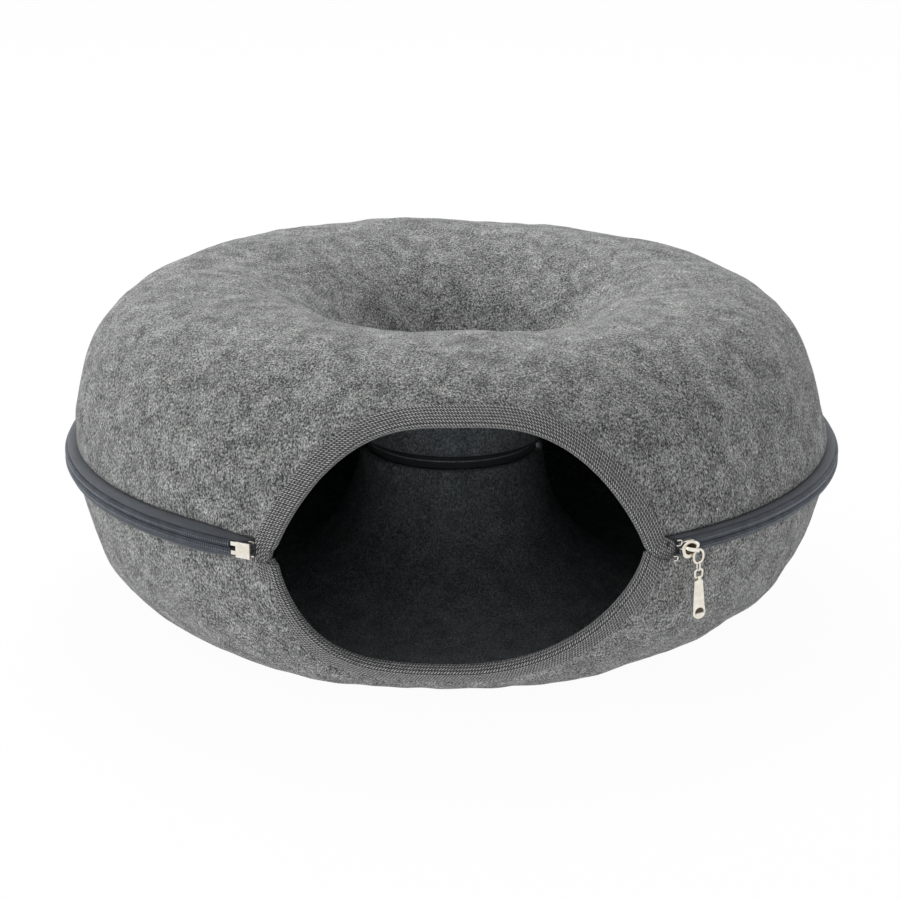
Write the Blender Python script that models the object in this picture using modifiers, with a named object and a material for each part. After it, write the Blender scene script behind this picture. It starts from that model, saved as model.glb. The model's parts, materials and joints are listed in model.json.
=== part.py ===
"""Donut cat tunnel: two moulded felt half shells, joined by a zip round the outside and one round the hole.

The ring stands on its lower half, with the way in at the front, towards -Y. The seam is the level plane
where the halves meet. Most pieces are worked out in the ring's own frame: its axis upright through the
middle of the hole and its seam at height zero. One empty then carries them to their place above the floor.
An azimuth is an angle round that axis, from the front towards +X.
"""

from math import asin, copysign, cos, hypot, pi, radians, sin, sqrt

import bmesh
import bpy
import numpy as np
from mathutils import Vector

# Driving dimensions of the ring, in metres
RING_DIAMETER = 0.500  # over the outer zip
ZIP_STANDS = 0.0090  # how far the outer zip stands proud of the felt
HOLE_DIAMETER = 0.110  # at the waist of the hole
CREST_DIAMETER = 0.315  # circle of the highest and lowest points
CROWN_HEIGHT = 0.1068  # top of the upper half, above the seam
BELLY_DEPTH = 0.1000  # bottom of the lower half before it is pressed flat
BASE_TRIM = 0.0010  # how much the base is pressed flat
FELT_THICKNESS = 0.0045
OUTER_POWER = 2.32  # fullness of the outer sides, 2 being a plain ellipse
HOLE_POWER = 2.20  # fullness of the sides towards the hole

# Seams and the clearance between pieces that touch
GAP = 0.0003
OUTER_SETBACK = 0.0097  # edge of each half from the seam, round the outside
HOLE_SETBACK = 0.0075  # the same round the hole

# The way in, and the webbing that binds its edge
MOUTH_WIDTH = 0.2100
MOUTH_RISE = 0.0750
MOUTH_DROP = 0.0698
RISE_POWERS = (1.95, 0.65, 0.65)  # of the upper edge's height, and its width to the right and to the left
DROP_POWERS = (1.50, 0.80, 0.48)  # of the lower edge, which is fuller on the left
BINDING_WIDTH = 0.0114
BINDING_THICKNESS = 0.0012
BINDING_END = 0.0015  # each binding stops this far from the seam
BINDING_LIFT = 0.0010  # room outside between felt and binding, so that their facets clear
BINDING_SLACK = 0.0024  # room inside the tunnel

# Zip chain of the outer seam
TAPE_THICKNESS = 0.0007
TAPE_SEWN = 0.0130  # tape behind the felt
COIL_WIDTH = 0.0030
COIL_DEPTH = 0.0028
COIL_SOFT_SHARE = 0.25  # of a coil's depth, softened on the side that shows
CHAIN_GAP = 0.0030  # between the two coils, where the slider's post runs
TAPE_CLEAR = 0.0007  # end of a tape from the binding
HOLE_ZIP_SHARE = 0.75  # gauge of the hole's zip against the outer one
HOLE_ZIP_OPEN = 0.0060  # between the tape ends of the hole's zip

# Zip hardware of the outer seam
SLIDER_LENGTH = 0.0135
SLIDER_WIDTH = 0.0124
WING_THICKNESS = 0.0012
WING_RUN = 0.0005  # running clearance between wings and coil
BACK_RUN = 0.0008  # running clearance between the back wing and the tape
FLANGE_RUN = 0.0004
POST_LENGTH = 0.0042
POST_WIDTH = 0.0022
POST_INSET = 0.0005  # from the split end
BAIL_LENGTH = 0.0094
BAIL_RISE = 0.0030
BAIL_BAR = 0.0011
BAIL_WIDTH = 0.0022
BAIL_TURN = radians(18)  # the bail lies level while the zip's end sags
METAL_EDGE = 0.0002
BOX_LENGTH = 0.0095
BOX_WIDTH = 0.0095
BOX_INSET = 0.0005
PIN_LENGTH = 0.0120
PIN_WIDTH = 0.0024
PIN_DEPTH = 0.0011
STOP_LENGTH = 0.0024
STOP_INSET = 0.0031  # from the tape's end to the stop
STOP_WALL = 0.0008
SLIDER_REST = 0.0006  # between the stops and the slider when the zip is closed
END_PLAY = 0.0006

# Pull of the outer slider
RING_WIDTH = 0.0086
RING_HEIGHT = 0.0098
RING_WIRE = 0.0013
RING_TAPER = 0.18
EYE_BORE = 0.0022
EYE_WIRE = 0.0008
EYE_OVERLAP = 0.0002  # where the two loops of the eye are fused
LINK_WIDTH = 0.0068
LINK_HEIGHT = 0.0062
LINK_WIRE = 0.0012
KNUCKLE_WIDTH = 0.0026
KNUCKLE_WALL = 0.0007
TAB_LENGTH = 0.0262
TAB_NECK = 0.0058
TAB_FOOT = 0.0079
TAB_THICKNESS = 0.0016
TAB_PAD = 0.0007  # how much thicker the foot of the tab is
TAB_DISH = 0.0006
TAB_EDGE = 0.0003
FOOT_LENGTH = 0.0072  # the thick end of the tab

# Pull of the hole's slider, a plain strap
STRAP_LENGTH = 0.0150
STRAP_RIM = 0.0012
STRAP_FOOT = 0.0030

# Fullness of rounded outlines, 2 being a plain ellipse
RING_POWER = 2
LINK_POWER = 4
BAIL_POWER = 3

# Facets
RING_STEPS = 48
CROWN_STEPS = 11
SIDE_STEPS = 6
MOUTH_STEPS = 14
LIP_STEPS = 3
WIRE_STEPS = 8
LOOP_STEPS = 20
ARC_STEPS = 6
BORE_STEPS = 16
TABLE_STEPS = 600
WEDGE_TURN = radians(30)  # of each side of a cutter's wedge
SMOOTH_TURN = radians(35)  # facets that meet at more than this show an edge
MERGE_REACH = 0.00001

# Worked out from the sizes above
FELT_RADIUS = RING_DIAMETER / 2 - ZIP_STANDS
WAIST_RADIUS = HOLE_DIAMETER / 2
CREST_RADIUS = CREST_DIAMETER / 2
SEAM_HEIGHT = BELLY_DEPTH - BASE_TRIM
MOUTH_HALF_ANGLE = asin(MOUTH_WIDTH / 2 / FELT_RADIUS)

# Outline of a slider's face plate: place along it, from the split end to the beak, and half width
FACE_SHARES = (
    (-0.50, 0.16),
    (-0.47, 0.30),
    (-0.38, 0.42),
    (-0.25, 0.485),
    (-0.08, 0.50),
    (0.12, 0.48),
    (0.27, 0.43),
    (0.36, 0.30),
    (0.50, 0.06),
)
BACK_SHARES = ((-0.48, 0.20), (-0.38, 0.36), (0.32, 0.36), (0.42, 0.20))
POST_SHARES = ((0.0, 0.1), (0.28, 0.5), (0.62, 0.5), (1.0, 0.1))
BOX_WEB_SHARE = 0.13

FELT = ((0.21, 0.22, 0.22), 0.95, 0.0)
WEBBING = ((0.10, 0.10, 0.10), 0.85, 0.0)
TAPE = ((0.07, 0.08, 0.10), 0.80, 0.0)
NYLON = ((0.05, 0.06, 0.08), 0.45, 0.0)
NICKEL = ((0.80, 0.79, 0.75), 0.22, 1.0)


def clear_scene():
    for obj in list(bpy.data.objects):
        bpy.data.objects.remove(obj, do_unlink=True)


def make_collection(name):
    collection = bpy.data.collections.new(name)
    bpy.context.scene.collection.children.link(collection)
    return collection


clear_scene()
PARTS = make_collection("donut_cat_tunnel")
CUTTERS = make_collection("cutters")


def finish_of(name, finish):
    colour, roughness, metallic = finish
    material = bpy.data.materials.new(name)
    material.use_nodes = True
    shader = material.node_tree.nodes["Principled BSDF"]
    shader.inputs["Base Color"].default_value = (*colour, 1)
    shader.inputs["Roughness"].default_value = roughness
    shader.inputs["Metallic"].default_value = metallic
    return material


def add_object(name, mesh, parent, finish=None):
    """An object in the ring's collection, or a hidden helper where it has no finish."""
    obj = bpy.data.objects.new(name, mesh)
    obj.parent = parent
    if finish:
        PARTS.objects.link(obj)
        mesh.materials.append(finish_of(name, finish))
    else:
        CUTTERS.objects.link(obj)
        obj.hide_render = True
        obj.display_type = "WIRE"
    return obj


def add_empty(name, parent, place=(0, 0, 0), turn=0.0):
    empty = bpy.data.objects.new(name, None)
    PARTS.objects.link(empty)
    empty.parent = parent
    empty.location = place
    empty.rotation_euler.z = turn
    return empty


def mesh_from(name, build, smooth=True):
    """A mesh that a function fills in through bmesh, with its faces turned outwards."""
    mesh = bpy.data.meshes.new(name)
    bm = bmesh.new()
    build(bm)
    bmesh.ops.recalc_face_normals(bm, faces=bm.faces)
    bm.to_mesh(mesh)
    bm.free()
    if smooth:
        mesh.shade_smooth()
        mesh.set_sharp_from_angle(angle=SMOOTH_TURN)
    return mesh


def boolean(obj, helper, operation):
    modifier = obj.modifiers.new(helper.name, "BOOLEAN")
    modifier.operation = operation
    modifier.object = helper
    modifier.solver = "EXACT"


# The skin of the ring: the outer face of the felt, as a table along each half's profile
class Skin:
    """One half's outer face, by the distance along its profile from the seam at the outside."""

    def __init__(self, side):
        self.side = side
        self.rise = CROWN_HEIGHT if side > 0 else BELLY_DEPTH
        turn = np.linspace(0, pi, TABLE_STEPS)
        across, up = np.cos(turn), np.sin(turn)
        power = np.where(across >= 0, OUTER_POWER, HOLE_POWER)
        scale = (np.abs(across) ** power + np.abs(up) ** power) ** (-1 / power)
        reach = np.where(across >= 0, FELT_RADIUS - CREST_RADIUS, CREST_RADIUS - WAIST_RADIUS)
        self.radius = CREST_RADIUS + reach * across * scale
        self.height = self.rise * up * scale
        if side < 0:
            self.height = np.minimum(self.height, SEAM_HEIGHT)
        step = np.hypot(np.diff(self.radius), np.diff(self.height))
        self.along = np.concatenate([[0], np.cumsum(step)])
        crest = np.flatnonzero(self.height == self.height.max())
        self.crest, self.far_crest = int(crest[0]), int(crest[-1])

    def along_at(self, height, outside=True):
        """Distance along the profile to a height off the seam, on the outside or towards the hole."""
        if outside:
            span = slice(None, self.crest + 1)
        else:
            span = slice(None, self.far_crest - 1 if self.far_crest else None, -1)
        return float(np.interp(height, self.height[span], self.along[span]))

    def point(self, along, off=0.0):
        """Radius and height of the profile, moved off the skin along its normal."""
        step = self.along[-1] / TABLE_STEPS
        here, after, before = (
            np.array([np.interp(s, self.along, self.radius), np.interp(s, self.along, self.height)])
            for s in (along, along + step, along - step)
        )
        way = after - before
        normal = np.array([way[1], -way[0]]) / np.hypot(*way)
        radius, height = here + normal * off
        return float(radius), float(height) * self.side

    def felt_places(self):
        """Places of the felt's profile points, with the pressed base kept as one flat step."""
        first, last = self.along_at(OUTER_SETBACK), self.along_at(HOLE_SETBACK, False)
        if self.side > 0:
            return np.linspace(first, last, CROWN_STEPS + 1)
        outside = np.linspace(first, self.along[self.crest], SIDE_STEPS + 1)
        inside = np.linspace(self.along[self.far_crest], last, SIDE_STEPS + 1)
        return np.concatenate([outside, inside])

    def behind_edge(self, reach, off):
        """Two points off the first flat facet of the felt: at its edge, and this far from its edge."""
        start, end = (Vector(self.point(along)) for along in self.felt_places()[:2])
        way = (end - start).normalized()
        normal = Vector((way.y, -way.x)) * self.side
        return [start + way * run + normal * off for run in (0, reach)]

    def place(self, azimuth, along, off=0.0):
        radius, height = self.point(along, off)
        return Vector((radius * sin(azimuth), -radius * cos(azimuth), height))


UPPER, LOWER = Skin(1), Skin(-1)
LIP_REACH = LOWER.point(LOWER.along_at(MOUTH_DROP), BINDING_LIFT + BINDING_THICKNESS)[0]
AXIS_Y = (LIP_REACH - RING_DIAMETER / 2) / 2

FRAME = add_empty("ring_frame", None, (0, AXIS_Y, SEAM_HEIGHT))


def turned(name, points, closed, parent, finish=None):
    """A profile of radii and heights, turned once round the ring's axis."""

    def build(bm):
        verts = [bm.verts.new((radius, 0, height)) for radius, height in points]
        for first, second in zip(verts, verts[1:] + verts[:1]):
            if closed or first is not verts[-1]:
                bm.edges.new((first, second))

    obj = add_object(name, mesh_from(name, build, False), parent, finish)
    screw = obj.modifiers.new("turn", "SCREW")
    screw.steps = screw.render_steps = RING_STEPS
    screw.use_merge_vertices = True
    screw.merge_threshold = MERGE_REACH
    screw.use_smooth_shade = True
    return obj


def solidify(obj, thickness, offset):
    modifier = obj.modifiers.new("wall", "SOLIDIFY")
    modifier.thickness = thickness
    modifier.offset = offset
    modifier.use_even_offset = True


def outline_of_mouth(skin, steps):
    """Azimuth and distance along the skin of one half of the mouth, from its right corner to its left."""
    rise, powers = (MOUTH_RISE, RISE_POWERS) if skin.side > 0 else (MOUTH_DROP, DROP_POWERS)
    start = asin((BINDING_END / rise) ** (1 / powers[0]))
    for step in range(2 * steps + 1):
        turn = start + (pi / 2 - start) * (1 - abs(1 - step / steps))
        side, power = (1, powers[1]) if step < steps else (-1, powers[2])
        azimuth = side * MOUTH_HALF_ANGLE * max(cos(turn), 0) ** power
        yield azimuth, skin.along_at(rise * sin(turn) ** powers[0])


def mouth_cutter():
    """A plug whose sides stand square to the skin, so that the felt is cut as a die cuts it."""
    upper = [(UPPER, *place) for place in outline_of_mouth(UPPER, MOUTH_STEPS)]
    lower = [(LOWER, *place) for place in outline_of_mouth(LOWER, MOUTH_STEPS)]
    depth = 3 * ZIP_STANDS
    outside = [skin.place(azimuth, along, depth) for skin, azimuth, along in upper + lower[::-1]]
    inside = [skin.place(azimuth, along, -depth) for skin, azimuth, along in upper + lower[::-1]]

    def build(bm):
        rings = [[bm.verts.new(point) for point in row] for row in (outside, inside)]
        hubs = [bm.verts.new((0, -radius, 0)) for radius in (FELT_RADIUS + 2 * depth, CREST_RADIUS)]
        count = len(outside)
        for i in range(count):
            j = (i + 1) % count
            bm.faces.new((rings[0][i], rings[0][j], rings[1][j], rings[1][i]))
            for hub, ring in zip(hubs, rings):
                bm.faces.new((hub, ring[i], ring[j]))

    return add_object("mouth_cutter", mesh_from("mouth_cutter", build, False), FRAME)


def felt_shell(name, skin, cutter):
    points = [skin.point(along) for along in skin.felt_places()]
    if skin.side > 0:
        points.reverse()
    shell = turned(name, points, False, FRAME, FELT)
    solidify(shell, FELT_THICKNESS, -1)
    boolean(shell, cutter, "DIFFERENCE")
    return shell


def mouth_binding(name, skin):
    """Webbing folded over the felt's cut edge: a folded section carried along the mouth's outline."""
    outline = list(outline_of_mouth(skin, MOUTH_STEPS))
    legs = np.linspace(BINDING_WIDTH, 0, 3)
    out = BINDING_LIFT + BINDING_THICKNESS / 2
    back = -(FELT_THICKNESS + BINDING_SLACK + BINDING_THICKNESS / 2)
    section = [(leg, out) for leg in legs] + [(-out, 0.0), (-out, back + out)]
    section += [(leg, back) for leg in legs[::-1]]

    def build(bm):
        rows = []
        for i, (azimuth, along) in enumerate(outline):
            before, after = outline[max(i - 1, 0)], outline[min(i + 1, len(outline) - 1)]
            radius = skin.point(along)[0]
            run, climb = (after[0] - before[0]) * radius, after[1] - before[1]
            length = sqrt(run * run + climb * climb)
            across, up = climb / length, -run / length  # away from the mouth, on the skin
            if before is outline[i] or after is outline[i]:
                across, up = copysign(1, azimuth), 0  # both ends lie along the seam
            row = []
            for leg, off in section:
                place = skin.place(azimuth + across * leg / radius, along + up * leg, off)
                row.append(bm.verts.new(place))
            rows.append(row)
        for first, second in zip(rows, rows[1:]):
            for i in range(len(section) - 1):
                bm.faces.new((first[i], first[i + 1], second[i + 1], second[i]))

    obj = add_object(name, mesh_from(name, build), FRAME, WEBBING)
    solidify(obj, BINDING_THICKNESS, 0)
    return obj


def sector_cutter(name, start, end, reach):
    """A wedge round the ring's axis between two azimuths, tall enough for anything near the seam."""
    steps = max(2, round((end - start) / WEDGE_TURN))
    turns = [start + (end - start) * i / steps for i in range(steps + 1)]

    def build(bm):
        floor = [bm.verts.new((0, 0, -BELLY_DEPTH))]
        floor += [bm.verts.new((reach * sin(t), -reach * cos(t), -BELLY_DEPTH)) for t in turns]
        face = bm.faces.new(floor)
        raised = bmesh.ops.extrude_face_region(bm, geom=[face])["geom"]
        moved = [item for item in raised if isinstance(item, bmesh.types.BMVert)]
        bmesh.ops.translate(bm, verts=moved, vec=(0, 0, BELLY_DEPTH + CROWN_HEIGHT))

    return add_object(name, mesh_from(name, build, False), FRAME)


class Zip:
    """Sizes and places of one zip. Its coils face outwards (facing 1) or towards the ring's axis (-1).

    Its azimuths count from the middle of the gap between its tape ends. Its local frame, at azimuth zero,
    has x along the zip, z across it, and a height off the middle of the tapes towards the coils.
    """

    def __init__(self, name, facing, middle, share, tape_radius, opening, setback, inside_felt):
        self.name, self.facing, self.middle, self.share = name, facing, middle, share
        self.setback, self.inside_felt, self.opening = setback, inside_felt, opening
        self.tape_radius = radius = tape_radius
        self.tape = TAPE_THICKNESS * share
        self.coil_width, self.coil_depth = COIL_WIDTH * share, COIL_DEPTH * share
        self.half_gap = CHAIN_GAP * share / 2
        self.length, self.width = SLIDER_LENGTH * share, SLIDER_WIDTH * share
        self.box_length = BOX_LENGTH * share
        self.facet = radius * (1 - cos(pi / RING_STEPS))
        self.box = -opening - (BOX_INSET + BOX_LENGTH / 2) * share / radius
        self.stop = opening + (STOP_INSET + STOP_LENGTH / 2) * share / radius
        self.slider = self.stop + (STOP_LENGTH / 2 + SLIDER_REST + SLIDER_LENGTH / 2) * share / radius
        self.pin_start = (BOX_LENGTH / 2 - 2 * STOP_WALL) * share
        self.coil_start = self.stop + (STOP_LENGTH * share / 2 + GAP) / radius
        self.coil_end = self.box - (PIN_LENGTH * share - self.pin_start + GAP) / radius
        stopped = self.box - ((self.box_length + self.length) / 2 + END_PLAY) / radius
        self.travel = 2 * pi + stopped - self.slider

    def radius(self, height):
        return self.tape_radius + self.facing * height

    def y(self, height):
        """The local y of a height: outwards from the ring's axis is towards -y."""
        return -self.radius(height)

    def lean(self, reach, side):
        """What a straight piece reaching this far each way needs beyond its clearance, on the coils' side
        of the tapes (1) or behind them (-1): the chain bends and steps towards it on the side of the axis.
        """
        if side * self.facing > 0:
            return 0.0
        return self.facet + self.tape_radius - sqrt(self.tape_radius**2 - reach**2)

    def coil_face(self):
        return self.tape / 2 + GAP + self.coil_depth

    def tape_path(self, skin):
        """Radii and heights of the tape's middle, from its edge under the coil to its sewn edge."""
        side = skin.side
        if not self.inside_felt:
            off = GAP + self.tape / 2
            reach = self.setback + TAPE_SEWN * self.share
            heights = [self.half_gap + (reach - self.half_gap) * i / LIP_STEPS for i in range(LIP_STEPS + 1)]
            return [skin.point(skin.along_at(height, False), off) for height in heights]
        off = -(FELT_THICKNESS + GAP + self.tape / 2)
        edge, sewn = skin.behind_edge(TAPE_SEWN * self.share, off)
        top = abs(edge.y) - GAP - self.tape / 2
        turn = self.half_gap + self.coil_width
        hub = FELT_RADIUS - FELT_THICKNESS / 2
        path = [(self.tape_radius, side * self.half_gap)]
        for i in range(LIP_STEPS + 1):
            angle = pi / 2 * (1 - i / LIP_STEPS)
            bulge, climb = (self.tape_radius - hub) * sin(angle), (top - turn) * cos(angle)
            path.append((hub + bulge, side * (turn + climb)))
        return path + [(edge.x, side * top), tuple(sewn)]

    def coil_section(self, side):
        """The outline of one coil's turns, seen along the zip: softened on the side that shows."""
        near, far = self.half_gap, self.half_gap + self.coil_width
        low, high = self.tape / 2 + GAP, self.coil_face()
        soft = self.coil_depth * COIL_SOFT_SHARE
        corners = [(low, near), (high - soft, near), (high, near + soft)]
        corners += [(high, far - soft), (high - soft, far), (low, far)]
        points = [(self.radius(height), side * across) for height, across in corners]
        area = sum(a[0] * b[1] - b[0] * a[1] for a, b in zip(points, points[1:] + points[:1]))
        return points[::-1] if area > 0 else points


OUTER_ZIP = Zip(
    "outer_zip",
    1,
    0.0,
    1.0,
    RING_DIAMETER / 2 - COIL_DEPTH - GAP - TAPE_THICKNESS / 2,
    MOUTH_HALF_ANGLE + (BINDING_WIDTH + TAPE_CLEAR) / FELT_RADIUS,
    OUTER_SETBACK,
    True,
)
HOLE_ZIP = Zip(
    "hole_zip",
    -1,
    pi,
    HOLE_ZIP_SHARE,
    WAIST_RADIUS - GAP - TAPE_THICKNESS * HOLE_ZIP_SHARE / 2,
    HOLE_ZIP_OPEN / 2 / WAIST_RADIUS,
    HOLE_SETBACK,
    False,
)


def zip_tapes_and_coils(chain):
    reach = chain.tape_radius + 2 * ZIP_STANDS
    ends = sector_cutter(
        chain.name + "_tape_ends", chain.middle - chain.opening, chain.middle + chain.opening, reach
    )
    bare = sector_cutter(
        chain.name + "_coil_ends", chain.middle + chain.coil_end, chain.middle + chain.coil_start, reach
    )
    for skin, half in ((UPPER, "upper"), (LOWER, "lower")):
        tape = turned(f"{chain.name}_{half}_tape", chain.tape_path(skin), False, FRAME, TAPE)
        solidify(tape, chain.tape, 0)
        boolean(tape, ends, "DIFFERENCE")
        coil = turned(f"{chain.name}_{half}_coil", chain.coil_section(skin.side), True, FRAME, NYLON)
        boolean(coil, bare, "DIFFERENCE")


def prism(name, outline, axis, low, high, parent, finish=None):
    """An outline raised along an axis. It gives the two other coordinates, in the order x, y, z."""

    def build(bm):
        ends = [
            [bm.verts.new(pair[:axis] + (along,) + pair[axis:]) for pair in outline] for along in (low, high)
        ]
        for end in ends:
            bm.faces.new(end)
        for i in range(len(outline)):
            j = (i + 1) % len(outline)
            bm.faces.new((ends[0][i], ends[0][j], ends[1][j], ends[1][i]))

    return add_object(name, mesh_from(name, build), parent, finish)


def soften(obj):
    modifier = obj.modifiers.new("edge", "BEVEL")
    modifier.width = METAL_EDGE
    modifier.segments = 1


def join(obj, *helpers):
    for helper in helpers:
        boolean(obj, helper, "UNION")


def block(a0, a1, b0, b1):
    return [(a0, b0), (a1, b0), (a1, b1), (a0, b1)]


def mirrored(half):
    """A closed outline from its half with a positive second coordinate."""
    return half + [(a, -b) for a, b in reversed(half)]


def round_outline(radius_a, radius_b, centre=(0.0, 0.0)):
    turns = [2 * pi * i / BORE_STEPS for i in range(BORE_STEPS)]
    return [(centre[0] + radius_a * cos(t), centre[1] + radius_b * sin(t)) for t in turns]


def full_round(turn, power):
    """A point of a circle swelled towards a square, more so with a higher power."""
    across, up = cos(turn), sin(turn)
    scale = (abs(across) ** power + abs(up) ** power) ** (-1 / power)
    return across * scale, up * scale


def retainer(chain):
    """The box at the start of the zip, with one pin of its own, and the loose pin of the upper half."""
    share, name = chain.share, f"{chain.name}_retainer_box"
    place = add_empty(name + "_place", FRAME, turn=chain.middle + chain.box)
    half, across, wall = chain.box_length / 2, BOX_WIDTH * share / 2, WING_THICKNESS * share
    pin_end = chain.pin_start - PIN_LENGTH * share
    near, far = chain.half_gap, chain.half_gap + PIN_WIDTH * share
    low = chain.tape / 2 + GAP + chain.lean(-pin_end, 1)
    high = low + PIN_DEPTH * share
    front, back = high + GAP, -(chain.tape / 2 + GAP + chain.lean(half, -1))
    plate = block(-half, half, -across, across)
    inner_half, inner_across, web = half - GAP, across - GAP, BOX_WEB_SHARE * across
    wall_start, wall_foot = half - STOP_WALL * share, chain.tape / 2 + GAP + chain.lean(half, 1)

    box = prism(name, plate, 1, chain.y(back - wall), chain.y(back), place, NICKEL)
    face = prism(name + "_face", plate, 1, chain.y(front), chain.y(front + wall), place)
    soften(box)
    soften(face)
    inside_face = chain.y(front + wall / 2)
    join(
        box,
        prism(
            name + "_web",
            block(-inner_half, inner_half, -web, web),
            1,
            chain.y(back - wall / 2),
            inside_face,
            place,
        ),
        face,
        prism(
            name + "_wall",
            block(wall_start, inner_half, -inner_across, inner_across),
            1,
            chain.y(wall_foot),
            inside_face,
            place,
        ),
        prism(
            name + "_pin",
            block(pin_end, (wall_start + half) / 2, -far, -near),
            1,
            chain.y(low),
            chain.y(high),
            place,
        ),
    )
    loose = block(pin_end, chain.pin_start, near, far)
    prism(f"{chain.name}_insertion_pin", loose, 1, chain.y(low), chain.y(high), place, NICKEL)


def end_stops(chain):
    """A clip bent round the edge of each tape, where the slider comes to rest."""
    share = chain.share
    place = add_empty(f"{chain.name}_stop_place", FRAME, turn=chain.middle + chain.stop)
    half, wall = STOP_LENGTH * share / 2, STOP_WALL * share
    front = chain.tape / 2 + GAP + chain.lean(half, 1)
    back = -(chain.tape / 2 + GAP + chain.lean(half, -1))
    edge, reach = chain.half_gap - GAP, chain.half_gap + chain.coil_width
    clip = [(back - wall, reach), (back - wall, edge - wall), (front + wall, edge - wall)]
    clip += [(front + wall, reach), (front, reach), (front, edge), (back, edge), (back, reach)]
    for side, which in ((1, "upper"), (-1, "lower")):
        outline = [(chain.y(height), side * across) for height, across in clip]
        prism(f"{chain.name}_{which}_stop", outline, 0, -half, half, place, NICKEL)


def bail_outline(share, foot, top):
    """A square-shouldered arch over the face plate: its outer edge one way, its inner edge back."""
    points = []
    for inset, order in ((0.0, 1), (BAIL_BAR * share, -1)):
        reach, rise = BAIL_LENGTH * share / 2 - inset, BAIL_RISE * share - inset
        arc = [full_round(pi * i / (2 * ARC_STEPS), BAIL_POWER) for i in range(2 * ARC_STEPS + 1)]
        edge = [(reach, foot)] + [(reach * a, top + rise * b) for a, b in arc] + [(-reach, foot)]
        points += edge[::order]
    return points


def slider_body(chain, name, place):
    """Two wings joined by the post at the split end, with flanges round the coils and a bail on the face.

    It gives the height of its face, and the local x and z of the bail's leg that the pull hangs from.
    """
    share = chain.share
    wall = WING_THICKNESS * share
    half, coil = chain.length / 2, chain.coil_face()
    face = coil + WING_RUN * share + chain.lean(half, 1)
    back = -(chain.tape / 2 + BACK_RUN * share + chain.lean(half, -1))
    outlines = []
    for shares in (FACE_SHARES, BACK_SHARES):
        outlines.append([(chain.length * a, chain.width * b) for a, b in shares])
    front, rear = outlines
    body = prism(name, mirrored(front), 1, chain.y(face), chain.y(face + wall), place, NICKEL)
    wing = prism(name + "_wing", mirrored(rear), 1, chain.y(back - wall), chain.y(back), place)
    soften(body)
    soften(wing)
    start = -half + POST_INSET * share
    post = [(start + POST_LENGTH * share * a, POST_WIDTH * share * b) for a, b in POST_SHARES]
    inside_face, inside_back = chain.y(face + wall / 2), chain.y(back - wall / 2)
    join(body, prism(name + "_post", mirrored(post), 1, inside_back, inside_face, place), wing)
    inner = chain.half_gap + chain.coil_width + FLANGE_RUN
    foot = chain.y(chain.tape / 2 + FLANGE_RUN + chain.lean(half, 1))
    edge = [(a, b - METAL_EDGE) for a, b in front if b - METAL_EDGE > inner + METAL_EDGE]
    flange = edge + [(edge[-1][0], inner), (edge[0][0], inner)]
    for side, which in ((1, "upper"), (-1, "lower")):
        outline = [(a, side * b) for a, b in flange]
        join(body, prism(f"{name}_{which}_flange", outline, 1, foot, inside_face, place))
    arch = [(a, chain.y(b)) for a, b in bail_outline(share, face + wall / 2, face + wall)]
    across = BAIL_WIDTH * share / 2
    bail = prism(name + "_bail", arch, 2, -across, across, place)
    bail.rotation_euler.y = BAIL_TURN
    soften(bail)
    join(body, bail)
    leg = (BAIL_LENGTH - BAIL_BAR) * share / 2
    return face + wall, leg * cos(BAIL_TURN), -leg * sin(BAIL_TURN)


def wire_loop(name, outline, axis, wire, parent, finish=None):
    """Wire bent round a closed flat outline, which gives the coordinates other than that of the axis."""
    path = [Vector(pair[:axis] + (0.0,) + pair[axis:]) for pair in outline]
    normal = Vector([float(i == axis) for i in range(3)])

    def build(bm):
        rings = []
        for i, place in enumerate(path):
            side = (path[(i + 1) % len(path)] - path[i - 1]).cross(normal).normalized()
            turns = [2 * pi * (k + 0.5) / WIRE_STEPS for k in range(WIRE_STEPS)]
            rings.append(
                [bm.verts.new(place + (side * cos(t) + normal * sin(t)) * wire / 2) for t in turns]
            )
        for i, ring in enumerate(rings):
            following = rings[(i + 1) % len(rings)]
            for k in range(WIRE_STEPS):
                m = (k + 1) % WIRE_STEPS
                bm.faces.new((ring[k], ring[m], following[m], following[k]))

    return add_object(name, mesh_from(name, build), parent, finish)


def loop_outline(width, height, power, middle=0.0, taper=0.0):
    """A rounded outline, narrower towards its top where it tapers."""
    rounds = [full_round(2 * pi * i / LOOP_STEPS, power) for i in range(LOOP_STEPS)]
    return [(width / 2 * a * (1 - taper * b), middle + height / 2 * b) for a, b in rounds]


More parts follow.
